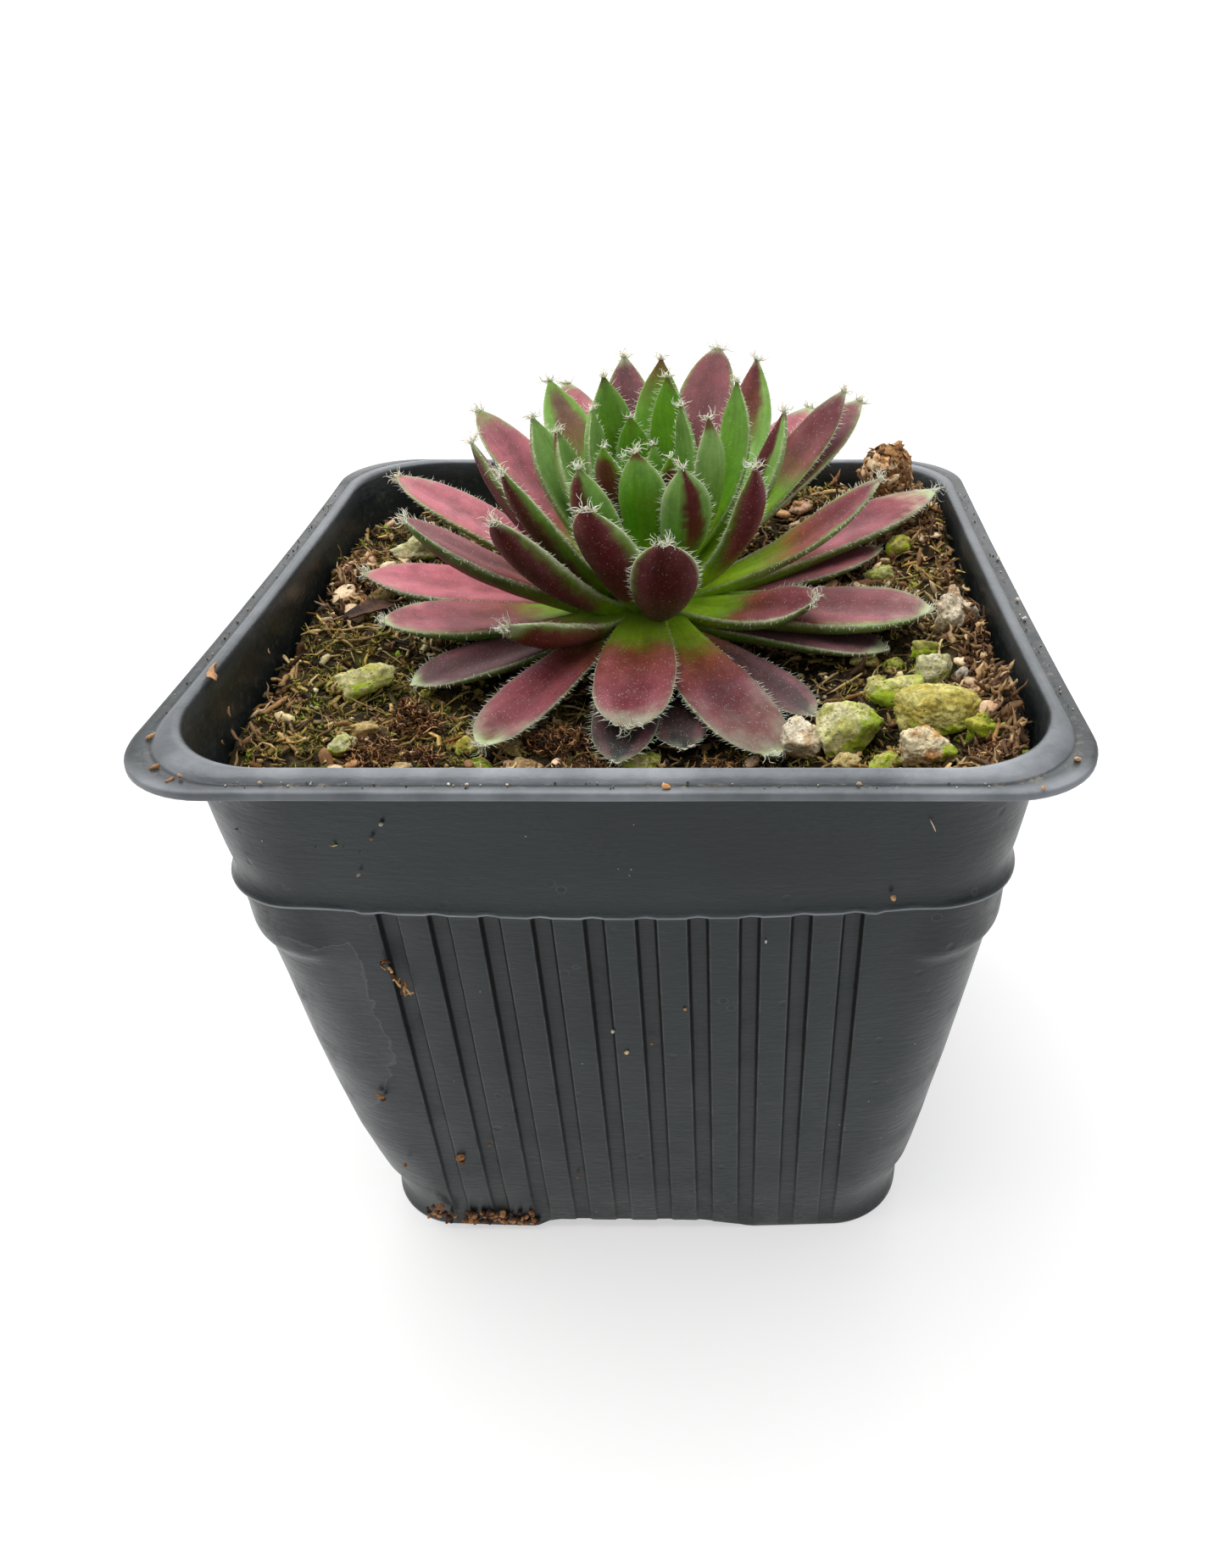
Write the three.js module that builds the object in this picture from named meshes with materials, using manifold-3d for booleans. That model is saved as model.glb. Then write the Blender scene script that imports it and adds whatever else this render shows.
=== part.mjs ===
// Hens-and-chicks rosette growing in a square plastic nursery pot.
// Millimetres, +Z up. The origin is the middle of the pot's footprint at the
// level of its feet, and the front face of the pot looks towards -Y.

import * as THREE from 'three';
import { mergeVertices } from 'three/addons/utils/BufferGeometryUtils.js';
import Module from 'manifold-3d';

// ---------------------------------------------------------------------------
// driving dimensions
// ---------------------------------------------------------------------------
const RIM_WIDTH = 90;            // outside of the rim, face to face
const RIM_CORNER = 9.7;          // corner radius of the rim
const RIM_TOP = 76.7;            // top of the rolled bead above the feet
const LIP_TOP = 76.0;            // top of the flat outer lip
const LIP_BOTTOM = 75.0;         // underside of the flat outer lip
const BEAD_INNER = 41.6;         // half width at the inner edge of the bead
const COLLAR_TOP_Z = 72.4;       // smooth band under the rim
const COLLAR_TOP_HALF = 42.05;
const STEP_Z = 59.3;             // ledge between the band and the fluted wall
const STEP_HALF = 40.4;
const WALL_TOP_HALF = 39.99;     // fluted wall just under the ledge
const BASE_HALF = 34.4;          // half width at the feet
const WALL = 1.1;                // wall thickness
const FLOOR_TOP = 4.0;
const FOOT_HEIGHT = 2.2;         // arch between the corner feet
const FOOT_GAP = 29.8;           // width of that arch on the ground
const FOOT_GAP_TOP = 20;         // and under the floor
const FLUTES = 10;               // recessed flutes on each face
const FLUTE_PITCH = 5.1;         // the flutes run straight up, a little closer at the ledge
const FLUTE_WIDTH = 2.0;
const FLUTE_DEPTH = 0.5;         // at the ledge, running out towards the feet
const LUG_BOTTOM = 50.8;         // stacking lugs on the four corners
const LUG_HALF = 39.95;
const LUG_REACH = 30.5;          // lugs start this far from a face's middle
const DRAIN_RADIUS = 3.5;
const DRAIN_RING = 17;
const CLEAR = 0.35;              // gap between the mix and the pot
const MIX_HALF = 40.5;           // half width of the mix at its surface
const GAP = 0.27;                // gap kept between neighbouring pieces
const SIDES = 32;                // points around the pot

const AXIS_X = 1, AXIS_Y = 8;    // the plant stands a little behind the middle
const STEM_BOTTOM = 58;

// Every leaf: name, distance of its base from the stem's axis, height of the
// base, azimuth, straight length from base to tip, elevation of that line,
// how far it curves up over its length (degrees, negative curves down), width,
// twist at the tip (degrees) and sideways bow.
const BUD = [
  [1.2, 75, 109.3, 17, 73.5, 10, 4.8, 0, 0],
  [1.4, 75, -125, 17.6, 69.4, 14, 5.2, 0, 0],
  [1.2, 75, -59.3, 15.5, 85.5, 8, 3.2, 0, 0],
  [1.2, 75, -112.9, 15.5, 74.1, 8, 2.8, 0, 0],
  [1.5, 75, -60, 15.9, 71.8, 12, 3.4, 0, 0],
];
const LEAVES = [
  ['leaf_inner_01', 2.6, 73.2, -93.9, 19, 74.1, 22, 6, 0, 0.4],
  ['leaf_inner_02', 2.6, 73.2, -30, 21.8, 73.7, 34, 6.4, 0, 0.8],
  ['leaf_inner_03', 2.6, 73.5, 25, 20.5, 84.1, 36, 4.8, -10, 0],
  ['leaf_inner_04', 2.6, 73.2, 72.8, 23.2, 75, 14, 5.4, 0, -0.35],
  ['leaf_inner_05', 2.6, 73.4, 165, 20.4, 79.4, 22, 6, 0, 0],
  ['leaf_inner_06', 3, 73, 123.5, 23.6, 74.2, 8, 6.5, 0, 0],
  ['leaf_inner_07', 3, 73, -119.8, 20.5, 60.4, 28, 5.9, -10, 0],
  ['leaf_inner_08', 3, 73, -66.6, 19.8, 63.3, 26, 6.1, 10, 0.8],
  ['leaf_inner_09', 3, 72.8, 33.8, 24.7, 65.7, 44, 5.6, -10, -0.7],
  ['leaf_inner_10', 3, 72.8, 176.3, 19.8, 68.2, 20, 6.8, 8, 0],
  ['leaf_inner_11', 3, 72.5, 85.1, 27, 58.8, 8, 6.6, 0, 0],
  ['leaf_middle_01', 3.5, 72, 164.6, 22.6, 62.1, 26, 7.2, 8, 0],
  ['leaf_middle_02', 3.5, 72, -46.2, 24.5, 52.6, 52, 4.8, 10, 0.6],
  ['leaf_middle_03', 3.5, 72, 13.8, 24.7, 56.4, 50, 6.2, -5, 0],
  ['leaf_middle_04', 4, 71.5, -106.8, 22, 49.7, 38, 7.3, 0, 0.55],
  ['leaf_middle_05', 4.2, 71.3, -82.2, 21.5, 41.3, 55, 7.8, 0, 0.3],
  ['leaf_middle_06', 3.8, 71.5, 55.4, 31, 49, 26, 6.2, -15, -0.8],
  ['leaf_middle_07', 4, 71.5, 70.1, 32, 47.8, 10, 8.2, 0, 0],
  ['leaf_middle_08', 4, 71.5, 99.1, 30.5, 48.2, 10, 7.2, 0, 0],
  ['leaf_middle_09', 4, 71.5, 123.7, 29, 44.9, 8, 7.4, -5, 0],
  ['leaf_middle_10', 4, 71.5, -127.6, 28, 48.6, 30, 5, -4, 0],
  ['leaf_outer_01', 4.5, 70.5, -125.7, 27, 40.6, 34, 7, -12, 0],
  ['leaf_outer_02', 4.5, 70.5, -163, 26.5, 54.2, 24, 6.4, 0, 0],
  ['leaf_outer_03', 4.5, 70.5, 34.5, 33.5, 38.8, 18, 5.8, -25, 0],
  ['leaf_outer_04', 4.5, 70.5, -5.2, 28.5, 34.1, 26, 6.2, -20, 0],
  ['leaf_outer_05', 4.5, 70.5, 113.5, 33, 35.1, 5, 7.6, 0, 0],
  ['leaf_outer_06', 4.5, 70.5, 138.6, 32, 33, 4, 7.4, 0, 0],
  ['leaf_outer_07', 5, 70, -32.1, 19.4, 16.5, 22, 8.6, -12, 0],
  ['leaf_outer_08', 5, 70, -124.2, 21.9, 17.2, 26, 8.8, -22, 0],
  ['leaf_outer_09', 4.5, 70.5, 36.6, 35.5, 32, 4, 7, -15, 0],
  ['leaf_outer_10', 4.5, 70.5, 49.2, 33, 30.4, 0, 8, 0, 0],
  ['leaf_outer_11', 5, 70, -150.9, 29.3, 33.1, 20, 8.2, 8, 0],
  ['leaf_outer_12', 5, 70, -91.2, 26, -1.7, -20, 9.2, 0, 0],
  ['leaf_spread_01', 5.5, 69, 153.9, 35, 18.6, 0, 7.6, 0, 0],
  ['leaf_spread_02', 5.5, 69, 178.8, 31.1, 7.4, 4, 9.2, 4, 0],
  ['leaf_spread_03', 5.5, 69.2, -160.8, 27.7, 5.8, 8, 8.8, 4, 0],
  ['leaf_spread_04', 5.5, 69, 25.2, 38, 13.4, 4, 9, 0, 0],
  ['leaf_spread_05', 5.5, 69.5, -17.9, 30.5, 7.5, 4, 10.2, -6, 0],
  ['leaf_spread_06', 5.5, 69, -117.3, 30.3, -2.8, -12, 7.2, 0, 0],
  ['leaf_spread_07', 5.5, 69, -65.7, 30.9, -3.3, -18, 8.9, 0, -0.5],
  ['leaf_back_01', 5.5, 69, 72, 27, 20, 4, 8.8, 0, 0],
  ['leaf_back_02', 5.5, 69, 99, 26, 17, 4, 8.8, 0, 0],
  ['leaf_back_03', 5.5, 69, 127, 27, 15, 4, 8.8, 0, 0],
  ['leaf_lower_01', 6, 67.8, -143.9, 26.6, 0.4, -8, 7.8, 0, 0],
  ['leaf_lower_02', 6, 67.5, -52.8, 25.9, 0, -10, 6.2, 0, 0],
  ['leaf_lower_03', 6, 67.5, -93, 28, -1.4, -8, 7.6, 0, 0],
  ['leaf_lower_04', 6, 67.5, -80.5, 25.6, -1.6, -8, 7.6, 0, 0],
  ['leaf_lower_05', 6, 67.8, -25.1, 25.7, 3.8, -4, 7.2, 0, 0],
  ['leaf_lower_06', 6, 67.8, 18.7, 26.7, 10.1, 0, 6.6, 0, 0],
];

// Loose grit on the mix: name, x, y, z of the middle, size along x, y, z, turn.
const STONES = [
  ['stone_cream', 37.4, -4.6, 73.9, 5.2, 5.0, 6.2, 20, 0xd6c8ac],
  ['stone_large_yellow', 32.4, -24.6, 72.6, 9.0, 6.7, 5.4, 8, 0xbfb468],
  ['stone_green', 23.2, -22.4, 69.2, 8.2, 7.0, 6.2, 30, 0xa9b45c],
  ['stone_white', 18.8, -23.4, 68.0, 5.2, 4.8, 5.0, -25, 0xd9ccb0],
  ['stone_orange', 30.0, -31.6, 72.3, 5.8, 4.8, 5.0, 15, 0xc2a878],
];

// Height of the mix, as scattered level marks: x, y, z.
const LEVELS = [
  [-40, -38, 68.4], [-40, -23, 69.0], [-40, -12, 69.5], [-40, 0, 70.2],
  [-40, 12, 71.4], [-40, 26, 70.6], [-38, 38, 69.6], [-18, 40, 69.6],
  [4, 40, 70.6], [24, 39, 73.0], [38, 38, 74.6], [40, 22, 74.4],
  [40, 6, 73.6], [40, -8, 73.4], [40, -24, 74.2], [38, -38, 74.0],
  [20, -40, 69.4], [0, -40, 67.6], [-20, -40, 67.2],
  [1, 8, 64.6], [-12, 8, 64.4], [14, 8, 64.6], [1, -8, 63.6], [1, 24, 66.6],
  [-14, -10, 63.4], [16, -8, 63.6], [-26, -12, 65.4], [-27, 8, 66.2],
  [-12, -26, 64.6], [2, -26, 64.2], [14, -24, 64.6], [-28, -30, 66.4],
  [24, -24, 66.6], [28, -8, 67.0], [29, 8, 67.6], [26, 24, 69.6],
  [34, -18, 70.4], [34, 0, 69.8], [-24, 28, 67.0], [32, -30, 70.2],
];

// ---------------------------------------------------------------------------
// helpers
// ---------------------------------------------------------------------------
const wasm = await Module();
wasm.setup();

const rad = (d) => (d * Math.PI) / 180;

const along = (table, t) => {
  for (let i = 1; i < table.length; i++) {
    if (t <= table[i][0]) {
      const [a, va] = table[i - 1], [b, vb] = table[i];
      return va + ((vb - va) * (t - a)) / (b - a);
    }
  }
  return table[table.length - 1][1];
};

// Merge shared points and turn the faces outwards.
function close(geometry) {
  geometry.deleteAttribute('normal');
  geometry.deleteAttribute('uv');
  const g = mergeVertices(geometry, 1e-4);
  const p = g.attributes.position, n = [];
  for (let i = 0; i < g.index.count; i += 3) {
    const a = g.index.getX(i), b = g.index.getX(i + 1), c = g.index.getX(i + 2);
    if (a !== b && b !== c && a !== c) n.push(a, b, c);
  }
  let volume = 0;
  const va = new THREE.Vector3(), vb = new THREE.Vector3(), vc = new THREE.Vector3();
  for (let i = 0; i < n.length; i += 3) {
    va.fromBufferAttribute(p, n[i]);
    vb.fromBufferAttribute(p, n[i + 1]);
    vc.fromBufferAttribute(p, n[i + 2]);
    volume += va.dot(vb.cross(vc));
  }
  if (volume < 0) for (let i = 0; i < n.length; i += 3) [n[i + 1], n[i + 2]] = [n[i + 2], n[i + 1]];
  g.setIndex(n);
  return g;
}

function solid(geometry) {
  const g = close(geometry);
  return new wasm.Manifold(new wasm.Mesh({
    numProp: 3,
    vertProperties: new Float32Array(g.attributes.position.array),
    triVerts: new Uint32Array(g.index.array),
  }));
}

function geometryOf(body) {
  const m = body.getMesh();
  const g = new THREE.BufferGeometry();
  g.setAttribute('position', new THREE.Float32BufferAttribute(m.vertProperties, 3));
  g.setIndex(Array.from(m.triVerts));
  g.computeVertexNormals();
  return g;
}

// A cut can leave a crumb behind; the piece is the largest body.
function largest(body) {
  const parts = body.decompose();
  let best = parts[0];
  for (const part of parts) if (part.volume() > best.volume()) best = part;
  return best;
}

// Point on a square with rounded corners and slightly swollen faces.
function squarePoint(half, corner, bow, turn) {
  const t = (((turn % 1) + 1) % 1) * 4;
  const quarter = Math.floor(t + 1e-9) % 4, s = Math.max(0, t - Math.floor(t + 1e-9));
  const r = Math.min(corner, half), flat = half - r;
  let x, y;
  if (s <= 0.25) { x = half; y = (flat * s) / 0.25; }
  else if (s >= 0.75) { x = (flat * (1 - s)) / 0.25; y = half; }
  else {
    const a = ((s - 0.25) / 0.5) * (Math.PI / 2);
    x = flat + r * Math.cos(a); y = flat + r * Math.sin(a);
  }
  if (half > 0) {
    const k = bow * (1 - (Math.min(x, y) / half) ** 2);
    if (x >= y) x += k; else y += k;
  }
  const c = [1, 0, -1, 0][quarter], d = [0, 1, 0, -1][quarter];
  return [c * x - d * y, d * x + c * y];
}

// A turned profile reshaped from round to square: rows are
// [half width, height, corner radius, bow] from the axis back to the axis.
function squareTurned(rows, heightAt) {
  const g = new THREE.LatheGeometry(
    rows.map(([half], i) => new THREE.Vector2(half, i)), SIDES);
  const p = g.attributes.position, uv = g.attributes.uv;
  for (let i = 0; i < p.count; i++) {
    const [half, z, corner, bow] = rows[Math.round(p.getY(i))];
    const [x, y] = half === 0 ? [0, 0] : squarePoint(half, corner, bow, uv.getX(i));
    p.setXYZ(i, x, y, heightAt ? heightAt(x, y, z) : z);
  }
  return g;
}

// ---------------------------------------------------------------------------
// pot
// ---------------------------------------------------------------------------
const BOW = [[0, 0.5], [STEP_Z, 1.3], [COLLAR_TOP_Z, 0.35], [RIM_TOP, 0]];
const bowAt = (z) => along(BOW, z);
const OUTER_CORNER = [[0, 10.4], [1, 11.8], [3, 13.6], [6, 13], [10, 11.6], [18, 10.2], [30, 10], [56, 9.9], [59, 9.3], [59.6, 9.7],
  [61, 10.8], [66, 11.7], [COLLAR_TOP_Z, 13.4], [RIM_TOP, 12]];
const cornerAt = (z) => along(OUTER_CORNER, z);
const INNER = [[0, BASE_HALF - WALL], [57.8, 38.8], [60, 39.5], [72, 41.2], [76.3, BEAD_INNER], [80, BEAD_INNER]];
const innerAt = (z) => along(INNER, z);
const wallAt = (z) => BASE_HALF + ((WALL_TOP_HALF - BASE_HALF) * z) / STEP_Z;
const row = (half, z, inner = false) => [half, z, cornerAt(z) - (inner ? WALL : 0), bowAt(z)];
const rimRow = (half, z) => [half, z, Math.max(7, RIM_CORNER - (RIM_WIDTH / 2 - half) + (RIM_WIDTH / 2 - half) * 1.55), 0];

let potBody = solid(squareTurned([
  [0, 0, 0, 0],
  row(BASE_HALF - 0.7, 0),
  row(BASE_HALF - 0.25, 0.4),
  row(wallAt(4) - 0.17, 4),
  row(wallAt(10) - 0.1, 10),
  row(wallAt(18), 18),
  row(wallAt(30), 30),
  row(wallAt(56), 56),
  row(wallAt(STEP_Z - 0.35), STEP_Z - 0.35),
  row(STEP_HALF, STEP_Z),
  row(41.08, 66),
  row(COLLAR_TOP_HALF, COLLAR_TOP_Z),
  row(COLLAR_TOP_HALF, LIP_BOTTOM),
  rimRow(RIM_WIDTH / 2, LIP_BOTTOM),
  rimRow(RIM_WIDTH / 2, LIP_TOP),
  rimRow(43.7, LIP_TOP),
  rimRow(43.5, LIP_TOP - 0.15),
  rimRow(43.2, LIP_TOP + 0.25),
  rimRow(42.6, RIM_TOP - 0.08),
  rimRow(42.1, RIM_TOP),
  rimRow(41.7, RIM_TOP - 0.3),
  rimRow(BEAD_INNER, 76.1),
  row(innerAt(72), 72, true),
  row(innerAt(66), 66, true),
  row(innerAt(60), 60, true),
  row(innerAt(57.8), 57.8, true),
  row(innerAt(30), 30, true),
  row(innerAt(10), 10, true),
  row(innerAt(FLOOR_TOP + 1), FLOOR_TOP + 1, true),
  row(innerAt(FLOOR_TOP) - 1, FLOOR_TOP, true),
  [0, FLOOR_TOP, 0, 0],
]));

// stacking lugs: a ring standing proud of the wall, left only on the corners
let lugs = solid((() => {
  const rows = [
    row(LUG_HALF - 1.7, LUG_BOTTOM - 0.1, true), row(LUG_HALF - 0.95, LUG_BOTTOM),
    row(LUG_HALF - 0.5, LUG_BOTTOM + 0.5), row(LUG_HALF - 0.15, LUG_BOTTOM + 1.0), row(LUG_HALF, LUG_BOTTOM + 1.7),
    row(LUG_HALF, STEP_Z - 0.1), row(LUG_HALF - 0.9, STEP_Z - 0.1, true), row(LUG_HALF - 1.7, LUG_BOTTOM - 0.1, true),
  ];
  return squareTurned(rows);
})());
for (const turned of [0, 90]) {
  const gate = new THREE.BoxGeometry(2 * LUG_REACH, 120, 16);
  const p = gate.attributes.position;
  for (let i = 0; i < p.count; i++) if (p.getZ(i) > 0) p.setX(i, p.getX(i) - Math.sign(p.getX(i)) * 2);
  gate.translate(0, 0, 54);
  gate.rotateZ(rad(turned));
  lugs = lugs.subtract(solid(gate));
}
potBody = potBody.add(lugs);

// flutes: shallow channels down the middle of each face, running out at the feet
const faceAt = (across, z) => {
  const half = wallAt(z);
  return half + bowAt(z) * (1 - (across / half) ** 2);
};
for (let face = 0; face < 4; face++) {
  for (let i = 0; i < FLUTES; i++) {
    const middle = 0.15 + (i - (FLUTES - 1) / 2) * FLUTE_PITCH;
    const g = new THREE.BoxGeometry(1, 1, 1);
    const p = g.attributes.position;
    for (let v = 0; v < p.count; v++) {
      const z = p.getZ(v) > 0 ? STEP_Z - 1.0 : -1;
      const spread = z > 0 ? 1 : 1.024;
      const across = middle * spread + Math.sign(p.getX(v)) * (FLUTE_WIDTH / 2);
      const slope = (WALL_TOP_HALF - BASE_HALF) / STEP_Z;
      const deep = faceAt(middle * spread, Math.max(z, 0)) + Math.min(z, 0) * slope - FLUTE_DEPTH * (z > 0 ? 1 : 0.3);
      p.setXYZ(v, across, p.getY(v) > 0 ? -deep : -(deep + 4), z);
    }
    g.rotateZ(rad(90 * face));
    potBody = potBody.subtract(solid(g));
  }
}

// arch between the feet, and the drain holes
for (const turned of [0, 90]) {
  const g = new THREE.BoxGeometry(FOOT_GAP, 100, 2 * FOOT_HEIGHT);
  const p = g.attributes.position;
  for (let i = 0; i < p.count; i++) {
    const top = p.getZ(i) > 0;
    p.setX(i, (Math.sign(p.getX(i)) * (top ? FOOT_GAP_TOP : 2 * FOOT_GAP - FOOT_GAP_TOP)) / 2);
  }
  g.rotateZ(rad(turned));
  potBody = potBody.subtract(solid(g));
}
for (const [x, y] of [[0, 0], [DRAIN_RING, 0], [-DRAIN_RING, 0], [0, DRAIN_RING], [0, -DRAIN_RING]]) {
  const g = new THREE.CylinderGeometry(DRAIN_RADIUS, DRAIN_RADIUS, 6, 16);
  g.rotateX(Math.PI / 2);
  g.translate(x, y, FLOOR_TOP - 1);
  potBody = potBody.subtract(solid(g));
}

// ---------------------------------------------------------------------------
// leaves
// ---------------------------------------------------------------------------
const WIDTH = [[0, 0.5], [0.12, 0.58], [0.3, 0.74], [0.5, 0.92], [0.66, 1], [0.78, 0.95],
  [0.87, 0.78], [0.94, 0.5], [0.975, 0.26], [1, 0.03]];
const THICK = [[0, 0.95], [0.15, 1], [0.4, 1], [0.65, 0.92], [0.8, 0.72], [0.92, 0.38], [1, 0.02]];
const STATIONS = [0, 0, 0.25, 0.5, 0.69, 0.83, 0.94, 1];

// A fleshy leaf: a sphere's rows become sections along a curved midrib. The
// upper side is nearly flat, the underside is full, and the margins lift.
function leafGeometry([baseRadius, baseZ, azimuth, length, elevation, bend, width, twist, bow], grow = 0) {
  const g = new THREE.SphereGeometry(1, 6, STATIONS.length - 1);
  const a = rad(azimuth), b = rad(bend), rise = rad(elevation);
  const out = new THREE.Vector3(Math.cos(a), Math.sin(a), 0);
  const side = new THREE.Vector3(-Math.sin(a), Math.cos(a), 0);
  const up = new THREE.Vector3(0, 0, 1);
  const base = new THREE.Vector3(AXIS_X + baseRadius * out.x, AXIS_Y + baseRadius * out.y, baseZ);
  const arc = Math.abs(b) < 1e-3 ? length : (length * (b / 2)) / Math.sin(b / 2);
  const start = rise - b / 2;
  const p = g.attributes.position, uv = g.attributes.uv;
  for (let i = 0; i < p.count; i++) {
    const rowIndex = Math.round((1 - uv.getY(i)) * (STATIONS.length - 1));
    const t = STATIONS[rowIndex];
    const here = start + b * t;
    let run, lift;
    if (Math.abs(b) < 1e-3) { run = arc * t * Math.cos(rise); lift = arc * t * Math.sin(rise); }
    else { run = (arc / b) * (Math.sin(here) - Math.sin(start)); lift = (arc / b) * (Math.cos(start) - Math.cos(here)); }
    const centre = base.clone().addScaledVector(out, run).addScaledVector(up, lift)
      .addScaledVector(side, bow * 0.4 * t * (1 - t) * length);
    const tangent = out.clone().multiplyScalar(Math.cos(here)).addScaledVector(up, Math.sin(here));
    const normal = out.clone().multiplyScalar(-Math.sin(here)).addScaledVector(up, Math.cos(here));
    const roll = rad(twist) * t;
    const n = normal.clone().multiplyScalar(Math.cos(roll)).addScaledVector(side, Math.sin(roll));
    const s = side.clone().multiplyScalar(Math.cos(roll)).addScaledVector(normal, -Math.sin(roll));
    if (t === 0) centre.addScaledVector(tangent, -grow);
    if (t === 1) centre.addScaledVector(tangent, grow);
    const pole = rowIndex === 0 || rowIndex === STATIONS.length - 1;
    if (!pole) {
      const angle = uv.getX(i) * 2 * Math.PI;
      const c = Math.cos(angle), d = Math.sin(angle);
      const half = (along(WIDTH, t) * width) / 2;
      const thick = along(THICK, t) * width * 0.34;
      const flat = d > 0 ? 0.3 * thick * d : 0.7 * thick * d;
      centre.addScaledVector(s, (half + grow) * c);
      centre.addScaledVector(n, flat + grow * d + 0.225 * c * c * thick);
    }
    p.setXYZ(i, centre.x, centre.y, centre.z);
  }
  return g;
}

// short stem that the leaves stand on
const STEM = [[0, STEM_BOTTOM], [6.4, STEM_BOTTOM], [6.6, 66], [5.9, 69], [4.6, 71.8], [3, 74.4], [1.4, 76], [0, 76.5]];
const stemSolid = (grow) => {
  const g = new THREE.LatheGeometry(STEM.map(([r, z], i) => new THREE.Vector2(
    r === 0 ? 0 : r + grow, z + (i < 2 ? -grow : 0) + (i === STEM.length - 1 ? grow : 0))), 12);
  g.rotateX(Math.PI / 2);
  g.translate(AXIS_X, AXIS_Y, 0);
  return solid(g);
};
const stemBody = stemSolid(0);
const stemRoom = stemSolid(GAP);

// the youngest leaves close over the growing point as one bud
let budBody = solid((() => {
  const g = new THREE.SphereGeometry(1, 6, 4);
  g.scale(2.1, 2.1, 2.6);
  g.translate(AXIS_X, AXIS_Y, 78.6);
  return g;
})());
for (const leaf of BUD) budBody = budBody.add(solid(leafGeometry(leaf)));
budBody = largest(budBody.subtract(stemRoom));
let budRoom = solid((() => {
  const g = new THREE.SphereGeometry(1, 6, 4);
  g.scale(2.1 + GAP, 2.1 + GAP, 2.6 + GAP);
  g.translate(AXIS_X, AXIS_Y, 78.6);
  return g;
})());
for (const leaf of BUD) budRoom = budRoom.add(solid(leafGeometry(leaf, GAP)));

// older leaves give way to younger ones where their bases crowd together
const leafBodies = [], leafRooms = [];
for (const [name, ...leaf] of LEAVES) {
  let body = solid(leafGeometry(leaf)).subtract(stemRoom).subtract(budRoom);
  for (const room of leafRooms) body = body.subtract(room);
  leafBodies.push([name, largest(body)]);
  leafRooms.push(solid(leafGeometry(leaf, GAP)));
}

// ---------------------------------------------------------------------------
// potting mix, grit and litter
// ---------------------------------------------------------------------------
function levelAt(x, y) {
  let sum = 0, weight = 0;
  for (const [px, py, pz] of LEVELS) {
    const w = 1 / ((x - px) ** 2 + (y - py) ** 2 + 4) ** 1.6;
    sum += w * pz; weight += w;
  }
  const ripple = 0.35 * Math.sin(x * 0.61 + 1.3) * Math.cos(y * 0.53 - 0.4)
    + 0.22 * Math.sin(x * 1.13 + y * 0.87);
  return sum / weight + ripple;
}

function stoneSolid([, x, y, z, sx, sy, sz, turn], grow = 0, seed = 1) {
  const g = new THREE.IcosahedronGeometry(1, 1);
  g.deleteAttribute('normal');
  g.deleteAttribute('uv');
  const p = g.attributes.position;
  for (let i = 0; i < p.count; i++) {
    const a = p.getX(i), b = p.getY(i), c = p.getZ(i);
    const k = 1 + 0.09 * Math.sin(3.1 * a + seed) * Math.cos(2.7 * b + 2 * seed)
      + 0.07 * Math.sin(4.3 * c + 1.7 * seed);
    p.setXYZ(i, a * k * (sx / 2 + grow), b * k * (sy / 2 + grow), c * k * (sz / 2 + grow));
  }
  g.setAttribute('uv', new THREE.Float32BufferAttribute(new Float32Array(p.count * 2), 2));
  g.setAttribute('normal', new THREE.Float32BufferAttribute(new Float32Array(p.count * 3), 3));
  g.rotateZ(rad(turn));
  g.translate(x, y, z);
  return solid(g);
}

let mixBody = solid((() => {
  const rows = [[0, FLOOR_TOP + 0.4, 0, 0]];
  const ring = (z, inset) => [innerAt(z) - inset, z, cornerAt(z) - WALL, bowAt(z)];
  rows.push(ring(FLOOR_TOP + 0.4, CLEAR + 1.1), ring(FLOOR_TOP + 1.4, CLEAR), ring(10, CLEAR), ring(30, CLEAR),
    ring(57.8, CLEAR), ring(60, CLEAR), ring(66, CLEAR));
  const scales = [1, 0.9, 0.78, 0.65, 0.5, 0.33, 0.16];
  const top = MIX_HALF;
  for (const k of scales) rows.push([top * k, 999, 12 * k, 0.05 * k]);
  rows.push([0, 999, 0, 0]);
  return squareTurned(rows, (x, y, z) => (z === 999 ? levelAt(x, y) : z));
})());
mixBody = mixBody.subtract(stemRoom);
const stoneBodies = STONES.map((stone, i) => {
  let body = stoneSolid(stone, 0, i + 1);
  for (const room of leafRooms) body = body.subtract(room);
  mixBody = mixBody.subtract(stoneSolid(stone, GAP, i + 1));
  return [stone[0], largest(body), stone[8]];
});
for (let i = 1; i < stoneBodies.length; i++)
  for (let j = 0; j < i; j++)
    stoneBodies[i][1] = largest(stoneBodies[i][1].subtract(stoneSolid(STONES[j], GAP, j + 1)));

// dry moss standing over the rim at the back, and a dead leaf by the left wall
const CLUMP = ['moss_clump', 33.4, 32.8, 77.4, 8.6, 7.0, 9.6, 25];
const DEAD = ['dead_leaf', -33.4, 3.4, 70.4, 8.0, 3.0, 1.5, 40];
let clumpBody = stoneSolid(CLUMP, 0, 11);
let deadBody = stoneSolid(DEAD, 0, 12);
for (const room of leafRooms) { clumpBody = clumpBody.subtract(room); deadBody = deadBody.subtract(room); }
mixBody = mixBody.subtract(stoneSolid(CLUMP, GAP, 11)).subtract(stoneSolid(DEAD, GAP, 12));
for (const room of leafRooms) mixBody = mixBody.subtract(room);
mixBody = largest(mixBody);

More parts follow.
